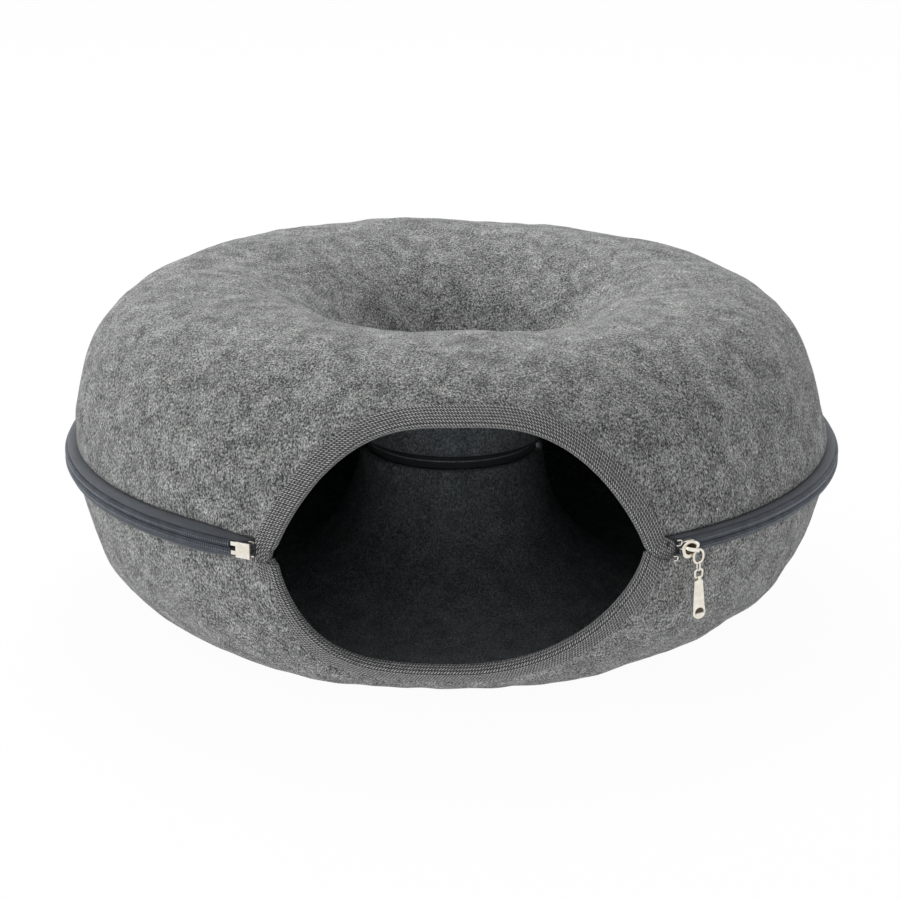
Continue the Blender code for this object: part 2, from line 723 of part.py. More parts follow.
def tab_body(name, parent):
    """The flat tab, hung on its knuckle at the origin: it widens and thickens towards a dished foot."""
    top = LINK_WIRE / 2 + GAP
    swell = TAB_LENGTH - FOOT_LENGTH
    bend = TAB_LENGTH - TAB_FOOT / 2
    stations = [(top, TAB_NECK / 2 - KNUCKLE_WALL, 0.0), (top + KNUCKLE_WALL, TAB_NECK / 2, 0.0)]
    stations += [(swell, TAB_FOOT / 2 - TAB_EDGE, 0.0), (swell + TAB_PAD, TAB_FOOT / 2 - TAB_EDGE / 2, 1.0)]
    for i in range(ARC_STEPS):
        turn = pi / 2 * i / ARC_STEPS
        stations.append((bend + TAB_FOOT / 2 * sin(turn), TAB_FOOT / 2 * cos(turn), 1.0))

    def build(bm):
        rows = []
        for down, wide, padded in stations:
            thick = (TAB_THICKNESS + TAB_PAD * padded) / 2
            flat, deep = wide - TAB_EDGE, thick - TAB_EDGE
            corners = [(wide, deep), (flat, thick), (-flat, thick), (-wide, deep)]
            corners += [(-a, -b) for a, b in corners]
            rows.append([bm.verts.new((a, b, -down)) for a, b in corners])
        for first, second in zip(rows, rows[1:]):
            for k in range(len(first)):
                m = (k + 1) % len(first)
                bm.faces.new((first[k], first[m], second[m], second[k]))
        bm.faces.new(rows[0])
        bm.faces.new(rows[-1])

    tab = add_object(name, mesh_from(name, build), parent, NICKEL)
    knuckle, half = top + KNUCKLE_WALL, KNUCKLE_WIDTH / 2
    join(tab, prism(name + "_knuckle", round_outline(knuckle, knuckle), 0, -half, half, parent))
    boolean(tab, prism(name + "_bore", round_outline(top, top), 0, -2 * half, 2 * half, parent), "DIFFERENCE")
    face = (TAB_THICKNESS + TAB_PAD) / 2
    rim = TAB_FOOT / 2 - 2 * TAB_PAD
    dish = round_outline(rim, (FOOT_LENGTH - 2 * TAB_PAD) / 2 - TAB_PAD, (0.0, -(swell + FOOT_LENGTH / 2)))
    boolean(tab, prism(name + "_dish", dish, 1, TAB_DISH - face, -2 * face, parent), "DIFFERENCE")


def hung_pull(place, face, leg_x, leg_z):
    """The outer slider's pull. Each piece hangs from an empty on the line that it turns about."""
    chain = OUTER_ZIP
    swing = add_empty("pull_ring_pivot", place, (leg_x, chain.y(face + GAP + RING_WIRE / 2), leg_z))
    rest = hypot(BAIL_BAR, BAIL_WIDTH) / 2 + GAP + RING_WIRE / 2
    wide, tall = RING_WIDTH - RING_WIRE, RING_HEIGHT - RING_WIRE
    wire_loop(
        "outer_pull_ring",
        loop_outline(wide, tall, RING_POWER, rest - tall / 2, RING_TAPER),
        1,
        RING_WIRE,
        swing,
        NICKEL,
    )
    eye_turn = add_empty("pull_eye_pivot", swing, (0, 0, rest - tall))
    reach = EYE_BORE + EYE_WIRE
    upper_eye = loop_outline(reach, reach, RING_POWER)
    eye = wire_loop("outer_pull_eye", upper_eye, 0, EYE_WIRE, eye_turn, NICKEL)
    drop = reach - EYE_OVERLAP
    lower_eye = loop_outline(reach, reach, RING_POWER, -drop)
    join(eye, wire_loop("outer_pull_eye_lower", lower_eye, 0, EYE_WIRE, eye_turn))
    link_turn = add_empty("pull_link_pivot", eye_turn, (0, 0, -drop))
    wide, tall = LINK_WIDTH - LINK_WIRE, LINK_HEIGHT - LINK_WIRE
    link = loop_outline(wide, tall, LINK_POWER, -tall / 2)
    wire_loop("outer_pull_link", link, 1, LINK_WIRE, link_turn, NICKEL)
    tab_body("outer_pull_tab", add_empty("pull_tab_pivot", link_turn, (0, 0, -tall)))


def strap_pull(place, face, leg_x, leg_z):
    """The hole slider's pull: a flat strap with an eye, turning on the bail's leg."""
    chain, share = HOLE_ZIP, HOLE_ZIP.share
    pivot = add_empty("strap_pivot", place, (leg_x, 0, leg_z))
    bore = hypot(BAIL_BAR, BAIL_WIDTH) * share / 2 + GAP
    head = bore + STRAP_RIM
    halves = [pi * i / BORE_STEPS for i in range(BORE_STEPS + 1)]
    outline = [(head * cos(t), head * sin(t)) for t in halves]
    outline += [(-STRAP_FOOT * cos(t), -STRAP_LENGTH - STRAP_FOOT * sin(t)) for t in halves]
    near = face + GAP
    far = face + (BAIL_RISE - BAIL_BAR) * share - GAP
    strap = prism("hole_pull_strap", outline, 1, chain.y(near), chain.y(far), pivot, NICKEL)
    cutter = prism("strap_bore", round_outline(bore, bore), 1, chain.y(face), chain.y(far + GAP), pivot)
    boolean(strap, cutter, "DIFFERENCE")


plug = mouth_cutter()
for half, which in ((UPPER, "upper"), (LOWER, "lower")):
    felt_shell(f"{which}_felt_shell", half, plug)
    mouth_binding(f"{which}_mouth_binding", half)

for zipper, slider, pull in (
    (OUTER_ZIP, "outer_slider_body", hung_pull),
    (HOLE_ZIP, "hole_slider_body", strap_pull),
):
    zip_tapes_and_coils(zipper)
    retainer(zipper)
    end_stops(zipper)
    seat = add_empty(slider + "_place", FRAME, turn=zipper.middle + zipper.slider)
    pull(seat, *slider_body(zipper, slider, seat))
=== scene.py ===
"""Dress for the donut cat tunnel: felt, webbing, zips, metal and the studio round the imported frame.

Most pieces are worked out on the skin of the ring: an azimuth round its upright axis, from the front
towards +X, a distance along the half's profile from the seam, and a height off that skin.
"""

import json
from math import asin, cos, pi, radians, sin, tau

import bmesh
import bpy
import numpy as np
from bpy.props import FloatProperty, FloatVectorProperty, IntProperty, PointerProperty
from bpy.types import Operator, Panel, PropertyGroup
from mathutils import Matrix, Vector

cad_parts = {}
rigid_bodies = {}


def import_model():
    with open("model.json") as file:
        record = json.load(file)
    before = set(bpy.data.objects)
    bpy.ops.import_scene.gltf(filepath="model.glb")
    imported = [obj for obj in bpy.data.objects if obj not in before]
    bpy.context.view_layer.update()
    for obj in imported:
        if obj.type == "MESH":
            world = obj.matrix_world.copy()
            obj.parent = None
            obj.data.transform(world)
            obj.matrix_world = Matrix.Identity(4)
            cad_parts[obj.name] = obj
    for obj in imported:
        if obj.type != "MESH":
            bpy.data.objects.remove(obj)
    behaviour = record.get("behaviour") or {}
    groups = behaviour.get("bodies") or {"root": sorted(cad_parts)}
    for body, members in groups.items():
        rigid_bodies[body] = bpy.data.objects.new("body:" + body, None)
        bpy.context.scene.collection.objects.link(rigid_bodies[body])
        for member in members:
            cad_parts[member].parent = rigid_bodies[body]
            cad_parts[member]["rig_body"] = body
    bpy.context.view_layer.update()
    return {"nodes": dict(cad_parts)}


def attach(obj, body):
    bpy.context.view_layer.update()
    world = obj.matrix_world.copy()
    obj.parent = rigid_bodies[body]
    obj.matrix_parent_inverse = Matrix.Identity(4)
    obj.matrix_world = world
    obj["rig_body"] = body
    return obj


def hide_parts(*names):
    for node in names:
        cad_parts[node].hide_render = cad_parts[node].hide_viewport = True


bl_info = {
    "name": "Donut Cat Tunnel",
    "version": (1, 0, 0),
    "blender": (4, 5, 0),
    "location": "3D View > Sidebar > Cat Tunnel",
    "description": "Dresses the frame of a felt donut cat tunnel in felt, webbing, zips and metal",
    "category": "Object",
}

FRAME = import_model()
NODES = FRAME["nodes"]
WEAVE = "weave"  # the mesh attribute that tells a material where it is on its piece, and where shade and a reflection are painted
ALONG, ACROSS, OUT = np.eye(3)  # the three ways of a zip's flat frame

# The felt ring, in metres. Its mouth and its edges follow the photograph, a little past the frame's own
FELT_RADIUS, WAIST_RADIUS, CREST_RADIUS = 0.2410, 0.0550, 0.1575
CROWN_HEIGHT, BELLY_DEPTH, SEAM = 0.1068, 0.1000, 0.0990
OUTER_POWER, HOLE_POWER = 2.32, 2.20  # how square the profile is outside its crest and in the hole
PROFILE_STEPS = 3000
OUTER_SETBACK, HOLE_SETBACK = 0.0080, 0.0045  # how far each edge of the felt stays off the seam
MOUTH_HALF_ANGLE = asin(0.1075 / FELT_RADIUS)
MOUTH_RISE, MOUTH_DROP = 0.0770, 0.0752
RISE_POWERS, DROP_POWERS = (1.87, 0.67, 0.63), (1.28, 0.95, 0.45)  # its curve in height, at the right, at the left
MOUTH_END = 0.0015  # height off the seam where the binding's line starts
SEAM_LAP, LAP_TAPER = 0.0200, 0.06  # how far the skin is known past the seam, and how it draws in there
SEAM_SWELL, SWELL_HEIGHT = 0.0016, 0.0450  # the felt stands out a little where the zip pulls on it
CROWN_LEAN, BELLY_OVAL = 0.0025, 0.0022  # the crown is fuller at the left, the belly a little oval
UNEVEN = ((1.0, 0.085, 11), (0.28, 0.022, 12))  # shares of the felt's sway, their wavelengths and seeds
CORNER_DROP, CORNER_REACH = 0.0035, 0.0150  # the lower felt's edge falls away at the zip's right end
RIGHT_CURL, LEFT_CURL = 95.0, 40.0  # how much the webbing's upper tongues bend to the right
LOWER_LAP = 0.0008
FELT_EASE, YARN_RIDGE = 0.0003, 0.00018  # between felt and webbing, and how high a row of yarn stands
WEBBING_PACE = 0.0006

# The zips, in metres at the outer zip's gauge
COIL_HEIGHT, TAPE_THICKNESS, TAPE_SINK = 0.0028, 0.0007, 0.0003
LIP_FOOT = 0.0040  # height off the seam where a tape's lip starts
LEFT_NARROWS, RIGHT_NARROWS = 0.0400, 0.3200  # over this way to the mouth the tapes' lips get lower
LIP_SHARE = 0.70  # by this share of their height
END_TUCK = 0.0022  # how far the outer tapes run on past the frame's own, into the binding
HOLE_TAPE_GRIP, HOLE_TAPE_EASE = 0.0096, 0.00045  # how far the hole's run on over the felt, and off it
TAPE_EDGE = 0.0004  # how far a tape's edges are rounded
END_SINK = 0.0012  # how deep the outer tapes' ends are sunk in the felt
LIP_FROM, LIP_OVER = 0.0034, 0.0012  # where, off the seam, their flat part passes into the lip
LIP_RISES, FLAT_RISES = (-0.0005, 0.0070), (-0.0020, 0.0016)  # from here off their ends, over this way
SHADED_END, SHADED_SEAM = 0.0110, 0.0042  # painted shade darkens the tapes up to here from their ends and the seam
# How dark the painted shade under the coil is
SEAM_SHADE = 0.8
SLIDER_LEAN, SLIDER_DROP = radians(18), 0.0010  # a slider hangs a little askew and below the seam
TAB_SLACK, TAB_ASIDE, TAB_LEAN = 0.0042, 0.0010, 0.050  # how the tab hangs off its place
TAB_NECK, TAB_WIDE, TAB_TOP = 0.0030, 0.0044, 0.0009  # half widths, and where its outline starts
TAB_NECK_FROM, TAB_SPREAD, TAB_ROUND = 0.0016, 0.0075, 0.0045  # its other corners, off its top or its foot


def node_points(node):
    """The corners of a frame node, in the row frame."""
    points = np.zeros(len(NODES[node].data.vertices) * 3)
    NODES[node].data.vertices.foreach_get("co", points)
    return points.reshape(-1, 3)


def axis_of_ring():
    """How far along y the ring's upright axis stands."""
    points = node_points("upper_felt_shell")
    radius = (points[:, 0].max() - points[:, 0].min()) / 2
    return points[:, 1].max() - radius


AXIS_Y = axis_of_ring()


def round_ring(points):
    """Azimuth, radius and height off the seam of points in the row frame."""
    x, y, z = points[:, 0], points[:, 1] - AXIS_Y, points[:, 2] - SEAM
    return np.arctan2(x, -y), np.hypot(x, y), z


def ring_place(azimuth, radius, height):
    """Points in the row frame, from arrays that go together."""
    azimuth, radius, height = np.broadcast_arrays(azimuth, radius, height)
    return np.stack([radius * np.sin(azimuth), AXIS_Y - radius * np.cos(azimuth), SEAM + height], -1)


def span_of(node):
    """First and last azimuth of a frame node that runs most of the way round the ring."""
    turns = np.sort(round_ring(node_points(node))[0] % tau)
    gaps = np.diff(np.append(turns, turns[0] + tau))
    start = turns[(gaps.argmax() + 1) % len(turns)]
    return start, start + tau - gaps.max()


class FeltSettings(PropertyGroup):
    dark: FloatVectorProperty(
        name="Dark fibres", description="Colour of the dark fibres", subtype="COLOR", default=(0.030, 0.032, 0.032)
    )
    light: FloatVectorProperty(
        name="Light fibres", description="Colour of the light fibres", subtype="COLOR", default=(0.78, 0.79, 0.78)
    )
    # Painted shade: the inside of the ring gets darker fibre colours that stand in for the shade in the tunnel
    shaded_inner_dark: FloatVectorProperty(
        name="Dark inside", description="Dark fibres inside", subtype="COLOR", default=(0.085, 0.097, 0.102)
    )
    shaded_inner_light: FloatVectorProperty(
        name="Light inside", description="Light fibres inside", subtype="COLOR", default=(0.44, 0.49, 0.51)
    )
    thickness: FloatProperty(
        name="Thickness", description="Thickness of the felt", unit="LENGTH", default=0.0045, precision=4
    )
    sway: FloatProperty(
        name="Sway", description="How far it strays from a true ring", unit="LENGTH", default=0.0007, precision=4
    )
    stations: IntProperty(name="Stations", description="Columns of the mesh round the ring", default=420)
    courses: IntProperty(name="Courses", description="Rows of the mesh across the felt", default=92)


class WebbingSettings(PropertyGroup):
    colour: FloatVectorProperty(
        name="Yarn", description="Colour of the yarn on top", subtype="COLOR", default=(0.66, 0.66, 0.66)
    )
    shade: FloatVectorProperty(
        name="Between", description="Colour between the yarns", subtype="COLOR", default=(0.018, 0.019, 0.020)
    )
    width: FloatProperty(
        name="Width", description="Width of the binding on each face", unit="LENGTH", default=0.0108, precision=4
    )
    lap: FloatProperty(
        name="Lap", description="How far it laps the seam at the right", unit="LENGTH", default=0.0094, precision=4
    )
    left_lap: FloatProperty(
        name="Left lap", description="The same at the left", unit="LENGTH", default=0.0085, precision=4
    )
    end_rise: FloatProperty(
        name="End rise", description="How far its right end stands off", unit="LENGTH", default=0.0036, precision=4
    )
    left_end_rise: FloatProperty(
        name="Left end rise", description="The same at the left", unit="LENGTH", default=0.0012, precision=4
    )
    thickness: FloatProperty(
        name="Thickness", description="Thickness of the webbing", unit="LENGTH", default=0.0011, precision=4
    )
    rows: IntProperty(name="Rows", description="Rows of yarn across the binding", default=6)
    pick: FloatProperty(
        name="Pick", description="Distance from yarn to yarn", unit="LENGTH", default=0.0018, precision=4
    )


class ZipSettings(PropertyGroup):
    tape: FloatVectorProperty(
        name="Tape", description="Colour of the zip tape", subtype="COLOR", default=(0.048, 0.059, 0.075)
    )
    # Painted shade: the colour that stands in for the shade under the coil and at the tapes' ends
    painted_shade: FloatVectorProperty(
        name="Shaded", description="Under the coil and at its ends", subtype="COLOR", default=(0.010, 0.012, 0.014)
    )
    teeth: FloatVectorProperty(
        name="Teeth", description="Colour of the nylon teeth", subtype="COLOR", default=(0.080, 0.094, 0.114)
    )
    thread: FloatVectorProperty(
        name="Thread", description="Colour of the sewing thread", subtype="COLOR", default=(0.34, 0.38, 0.43)
    )
    pitch: FloatProperty(
        name="Pitch", description="Distance from tooth to tooth", unit="LENGTH", default=0.0015, precision=4
    )


class MetalSettings(PropertyGroup):
    colour: FloatVectorProperty(
        name="Nickel", description="Colour of the plated metal", subtype="COLOR", default=(0.84, 0.81, 0.75)
    )
    # Painted reflection and shade: the dark colour of the dishes in the slider and the tab
    painted_reflection: FloatVectorProperty(
        name="Hollows", description="Colour deep in its hollows", subtype="COLOR", default=(0.075, 0.060, 0.040)
    )
    roughness: FloatProperty(name="Roughness", description="Roughness of the plating", subtype="FACTOR", default=0.16)
    gauge: FloatProperty(
        name="Gauge", description="Thickness of the wire loops", unit="LENGTH", default=0.0016, precision=4
    )


class StudioSettings(PropertyGroup):
    key: FloatProperty(name="Key", description="Power of the lamp behind and above", unit="POWER", default=33.0)
    fill: FloatProperty(name="Fill", description="Power of the lamp at the left", unit="POWER", default=7.0)
    ambient: FloatProperty(name="Ambient", description="Strength of the light from all round", default=0.40)
    floor_glow: FloatProperty(
        name="Floor glow", description="How far the floor is lifted to white", subtype="FACTOR", default=0.96
    )
    bounce: FloatProperty(
        name="Bounce", description="How far the floor lights the ring by itself", subtype="FACTOR", default=0.6
    )


# Lines and numbers
def eased(value):
    """From zero to one, with a soft start and end."""
    value = np.clip(value, 0, 1)
    return value * value * (3 - 2 * value)


def rounded(distance, radius):
    """Share of a sheet's half thickness near a rounded edge."""
    return np.sqrt(np.clip(1 - (1 - np.clip(distance / radius, 0.02, 1)) ** 2, 0, 1))


def totals(steps):
    """The sum of the steps up to each, from zero."""
    return np.append(0, np.cumsum(steps))


def run_along(line):
    """Length of a line up to each of its points."""
    return totals(np.linalg.norm(np.diff(line, axis=0), axis=1))


def evened(line, count, endpoint=True):
    """The same line at an even pace."""
    run = run_along(line)
    even = np.linspace(0, run[-1], count, endpoint=endpoint)
    return np.stack([np.interp(even, run, column) for column in line.T], -1)


def smooth_path(points, count):
    """A flowing line through points, at an even pace."""
    points = np.asarray(points, float)
    ends = np.vstack([2 * points[0] - points[1], points, 2 * points[-1] - points[-2]])
    t = np.linspace(0, len(points) - 1, 40 * len(points))
    i = np.minimum(t.astype(int), len(points) - 2)
    f = (t - i)[:, None]
    a, b, c, d = (ends[i + k] for k in range(4))
    line = (2 * b + (c - a) * f + (2 * a - 5 * b + 4 * c - d) * f**2 + (3 * b - a - 3 * c + d) * f**3) / 2
    return evened(line, count)


def round_loop(points, count):
    """An even closed line through points."""
    points = np.asarray(points, float)
    line = smooth_path(np.vstack([points[-3:], points, points[:3]]), 40 * count)
    half = 20 * count
    away = np.linalg.norm(line - points[0], axis=1)
    return evened(line[away[:half].argmin() : half + away[half:].argmin()], count, endpoint=False)


def sides_of(path):
    """Unit vectors to the left of a flat path of two coordinates."""
    way = np.gradient(path, axis=0)
    way /= np.linalg.norm(way, axis=1)[:, None]
    return np.stack([-way[:, 1], way[:, 0]], -1)


def lifted(line, height=0.0):
    """A flat line with a third coordinate."""
    return np.column_stack([line, np.full(len(line), height)])


def unevenness(points, wavelength, seed):
    """A smooth random height at each point, about one high and low, that repeats for the same seed."""
    waves = 28
    random = np.random.default_rng(seed)
    ways = random.normal(size=(waves, 3))
    ways *= (tau / wavelength * random.uniform(0.6, 1.5, waves) / np.linalg.norm(ways, axis=1))[:, None]
    total = np.zeros(points.shape[:-1])
    for way, phase in zip(ways, random.uniform(0, tau, waves)):
        total += np.sin(points @ way + phase)
    return total * (2 / waves) ** 0.5


# Shape of the skin
class Skin:
    """One half's outer face, by the distance along its profile from the seam at the outside."""

    def __init__(self, side):
        self.side = side
        self.rise, self.powers = (MOUTH_RISE, RISE_POWERS) if side > 0 else (MOUTH_DROP, DROP_POWERS)
        turn = np.linspace(0, pi, PROFILE_STEPS + 1)
        across, up = np.cos(turn), np.sin(turn)
        outside = across >= 0
        power = np.where(outside, OUTER_POWER, HOLE_POWER)
        scale = (np.abs(across) ** power + np.abs(up) ** power) ** (-1 / power)
        reach = np.where(outside, FELT_RADIUS - CREST_RADIUS, CREST_RADIUS - WAIST_RADIUS)
        radius = CREST_RADIUS + reach * across * scale
        height = (CROWN_HEIGHT if side > 0 else BELLY_DEPTH) * up * scale
        if side < 0:
            height = np.minimum(height, SEAM)
        radius += np.where(outside, SEAM_SWELL * (1 - eased(height / SWELL_HEIGHT)), 0.0)
        along = totals(np.hypot(np.diff(radius), np.diff(height)))
        self.along, self.height = (np.append(-SEAM_LAP, line) for line in (along, height))
        self.radius = np.append(radius[0] - SEAM_LAP * LAP_TAPER, radius)
        self.crest = int(self.height.argmax())

    def along_at(self, height, outside=True):
        """Distance along the skin at a height off the seam, at the outside or in the hole."""
        part = slice(self.crest + 1) if outside else slice(None, PROFILE_STEPS // 2, -1)
        return np.interp(height, self.height[part], self.along[part])

    def profile(self, along, off=0.0):
        """Radius and height off the seam of places on the skin, raised off it along its normal."""
        step = 0.0012
        before, here, after = (
            [np.interp(along + shift, self.along, line) for line in (self.radius, self.height)]
            for shift in (-step, 0.0, step)
        )
        run, climb = after[0] - before[0], after[1] - before[1]
        length = np.hypot(run, climb)
        return here[0] + off * climb / length, (here[1] - off * run / length) * self.side

    def place(self, azimuth, along, off=0.0):
        return ring_place(azimuth, *self.profile(along, off))


UPPER, LOWER = Skin(1), Skin(-1)
HALVES = (("upper", UPPER), ("lower", LOWER))
TAPE_START = span_of("outer_zip_upper_tape")[0]


def mouth_outline(skin, turn):
    """Azimuth and distance along the skin of the mouth's edge, at a turn from its right to its left corner."""
    right = turn <= pi / 2
    power = np.where(right, skin.powers[1], skin.powers[2])
    azimuth = np.where(right, 1, -1) * MOUTH_HALF_ANGLE * np.abs(np.cos(turn)) ** power
    return azimuth, skin.along_at(skin.rise * np.sin(turn) ** skin.powers[0])


def narrowing(azimuth):
    """How far the tapes' lips have narrowed at an azimuth: one at the tapes' ends, zero round the rest."""
    turn = (azimuth + pi) % tau - pi
    reach = np.where(turn > 0, RIGHT_NARROWS, LEFT_NARROWS)
    return 1 - eased((np.abs(turn) - TAPE_START) * FELT_RADIUS / reach)


def mouth_edge(skin, azimuth):
    """Distance along the skin where the felt starts, at each azimuth."""
    share = np.clip(np.abs(azimuth) / MOUTH_HALF_ANGLE, 0, 1)
    across = share ** (1 / np.where(azimuth >= 0, skin.powers[1], skin.powers[2]))
    height = skin.rise * np.sqrt(np.clip(1 - across**2, 0, 1)) ** skin.powers[0]
    setback = OUTER_SETBACK - LIP_SHARE * narrowing(azimuth) * (OUTER_SETBACK - LIP_FOOT)
    if skin.side < 0:
        past = (azimuth - TAPE_START) * FELT_RADIUS / CORNER_REACH
        setback = setback + CORNER_DROP * np.where(azimuth > 0, 1 - eased(past), 0.0)
    return skin.along_at(np.maximum(height, setback))


# Meshes
def quads(index):
    return np.stack([index[:-1, :-1], index[1:, :-1], index[1:, 1:], index[:-1, 1:]], -1).reshape(-1, 4)


def strip(one, other):
    return quads(np.stack([one, other], -1))


def band_shape(front, back, closed=False):
    """Points and faces of a band between two grids, one for each face, joined along all their edges."""
    stations, across = front.shape[:2]
    index = np.arange(stations * across).reshape(stations, across)
    behind = index + stations * across
    if closed:
        index, behind = (np.vstack([grid, grid[:1]]) for grid in (index, behind))
    faces = [quads(index), quads(behind)[:, ::-1]]
    faces += [strip(index[:, 0], behind[:, 0]), strip(index[:, -1], behind[:, -1])]
    if not closed:
        faces += [strip(index[0], behind[0]), strip(index[-1], behind[-1])]
    return np.concatenate([front.reshape(-1, 3), back.reshape(-1, 3)]), np.concatenate(faces).tolist()


def loft(rings, closed=False):
    """Points and faces of a skin over rings of points, with a face at either end unless it is closed."""
    index = np.arange(rings.shape[0] * rings.shape[1]).reshape(rings.shape[:2])
    caps = [] if closed else [index[0].tolist(), index[-1].tolist()]
    if closed:
        index = np.vstack([index, index[:1]])
    return rings.reshape(-1, 3), quads(np.hstack([index, index[:, :1]])).tolist() + caps


def circle(sides):
    """The two parts of a round section's corners."""
    turns = np.arange(sides) * tau / sides
    return np.cos(turns), np.sin(turns)


def soft_square(power=4, sides=20):
    """The same for a square section with round corners."""
    turns = (np.arange(sides) + 0.5) * tau / sides
    grow = (np.abs(np.cos(turns)) ** power + np.abs(np.sin(turns)) ** power) ** (-1 / power)
    return np.cos(turns) * grow, np.sin(turns) * grow


def tube(path, first, second, section, closed=False):
    """A bar along a path. The two vectors, or arrays of them, are the half axes of its section."""
    across, up = (wave[:, None] for wave in section)
    first, second = (np.broadcast_to(axis, path.shape)[:, None] for axis in (first, second))
    return loft(path[:, None] + first * across + second * up, closed)


def crowned_plate(outline, levels):
    """A plate in levels, where each is a share of the outline and a height."""
    return loft(np.array([lifted(outline * share, height) for share, height in levels]))


def joined(shapes):
    """One set of points and faces from several."""
    points, faces, count = [], [], 0
    for some, sides in shapes:
        points.append(some.reshape(-1, 3))
        faces += [[corner + count for corner in side] for side in sides]
        count += len(points[-1])
    return np.concatenate(points), faces


def linked(name, data):
    """A new object in the scene."""
    obj = bpy.data.objects.new(name, data)
    bpy.context.scene.collection.objects.link(obj)
    return obj


def mesh_object(name, points, faces, weave=None):
    mesh = bpy.data.meshes.new(name)
    mesh.from_pydata(points.reshape(-1, 3).tolist(), [], faces)
    mesh.validate()
    bm = bmesh.new()
    bm.from_mesh(mesh)
    bmesh.ops.recalc_face_normals(bm, faces=bm.faces)
    bm.to_mesh(mesh)
    bm.free()
    mesh.shade_smooth()
    if weave is not None:
        layer = mesh.attributes.new(WEAVE, "FLOAT_VECTOR", "POINT")
        layer.data.foreach_set("vector", weave.astype(np.float32).ravel())
    return linked(name, mesh)


def band(name, grids, weave, closed=False):
    """A band between two grids as an object. Its weave is given once, or for each face."""
    return mesh_object(name, *band_shape(*grids, closed), np.broadcast_to(weave, (2, *grids[0].shape)))


def dress(obj, nodes, material, body=None):
    """The object stands for these nodes and rides on their body."""
    obj.data.materials.append(material)
    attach(obj, body or NODES[nodes[0]]["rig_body"])
    if nodes:
        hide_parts(*nodes)
    return obj


# Materials
def add_node(tree, kind, inputs=None, output=0, **settings):
    node = tree.nodes.new(kind)
    for key, value in settings.items():
        setattr(node, key, value)
    for key, value in (inputs or {}).items():
        if isinstance(value, bpy.types.NodeSocket):
            tree.links.new(value, node.inputs[key])
        else:
            node.inputs[key].default_value = value
    return node.outputs[output]


def calc(tree, operation, *values):
    return add_node(tree, "ShaderNodeMath", dict(enumerate(values)), operation=operation)


def object_space(tree):
    """A place on the piece, in metres."""
    return add_node(tree, "ShaderNodeTexCoord", output=3)


def parts(tree, vector):
    """The three parts of a vector."""
    split = tree.nodes.new("ShaderNodeSeparateXYZ")
    tree.links.new(vector, split.inputs[0])
    return split.outputs


def woven_in(tree):
    """The three parts of what the mesh itself says of each place."""
    return parts(tree, add_node(tree, "ShaderNodeAttribute", attribute_name=WEAVE, output=1))


def grey_noise(tree, coordinates, scale, detail=2.0, roughness=0.5):
    inputs = {"Vector": coordinates, "Scale": scale, "Detail": detail, "Roughness": roughness}
    return add_node(tree, "ShaderNodeTexNoise", inputs)


def spread(tree, value, low, high, to_low=0.0, to_high=1.0):
    """A range of values stretched over another and held inside it."""
    inputs = {"Value": value, "From Min": low, "From Max": high, "To Min": to_low, "To Max": to_high}
    return add_node(tree, "ShaderNodeMapRange", inputs)


def between_values(tree, factor, first, second):
    return add_node(tree, "ShaderNodeMix", {"Factor": factor, 2: first, 3: second})


def between(tree, factor, first, second):
    colours = {"Factor": factor, 6: first, 7: second}
    return add_node(tree, "ShaderNodeMix", colours, 2, data_type="RGBA")


def bump(tree, height, distance):
    return add_node(tree, "ShaderNodeBump", {"Height": height, "Distance": distance, "Strength": 1.0})


def new_material(name, **constants):
    material = bpy.data.materials.new(name)
    material.use_nodes = True
    shader = material.node_tree.nodes["Principled BSDF"]
    for key, value in constants.items():
        shader.inputs[key.replace("_", " ")].default_value = value
    return material, material.node_tree, shader


def feed(tree, shader, **sockets):
    """Links into the shader's inputs."""
    for key, socket in sockets.items():
        tree.links.new(socket, shader.inputs[key.replace("_", " ")])


def paint(colour, share=1.0):
    """A colour for a socket, paler or deeper by a share."""
    return (*(share * value for value in colour), 1.0)


def felt_material(settings):
    """Needled felt: pale and dark fibres in short strokes, mottled in patches, with a fibrous surface."""
    material, tree, shader = new_material(
        "heather_felt", Roughness=0.96, Sheen_Weight=0.12, Sheen_Roughness=0.6, Specular_IOR_Level=0.18
    )
    here = object_space(tree)
    drift = add_node(tree, "ShaderNodeTexNoise", {"Vector": here, "Scale": 70.0, "Detail": 1.0}, 1)
    bend = {0: drift, 1: (0.004, 0.004, 0.004), 2: here}
    bent = add_node(tree, "ShaderNodeVectorMath", bend, operation="MULTIPLY_ADD")
    strokes = []
    for stretch in ((1.0, 1.0, 0.46), (0.74, 0.78, 0.58)):
        along = add_node(tree, "ShaderNodeVectorMath", {0: bent, 1: stretch}, operation="MULTIPLY")
        strokes.append(grey_noise(tree, along, 1200.0, 3.0, 0.70))
    mixed = calc(tree, "ADD", *strokes)
    patches = grey_noise(tree, here, 85.0, 3.0, 0.62)
    tone = calc(tree, "MULTIPLY_ADD", patches, 0.36, mixed)
    share = calc(tree, "POWER", spread(tree, tone, 0.97, 1.43), 1.5)
    outer = between(tree, share, paint(settings.dark), paint(settings.light))
    # Painted shade: faces marked as inside take the darker inside colours
    inner = between(tree, share, paint(settings.shaded_inner_dark), paint(settings.shaded_inner_light))
    colour = between(tree, woven_in(tree)[0], outer, inner)
    feed(tree, shader, Base_Color=colour, Normal=bump(tree, mixed, 0.0006))
    return material


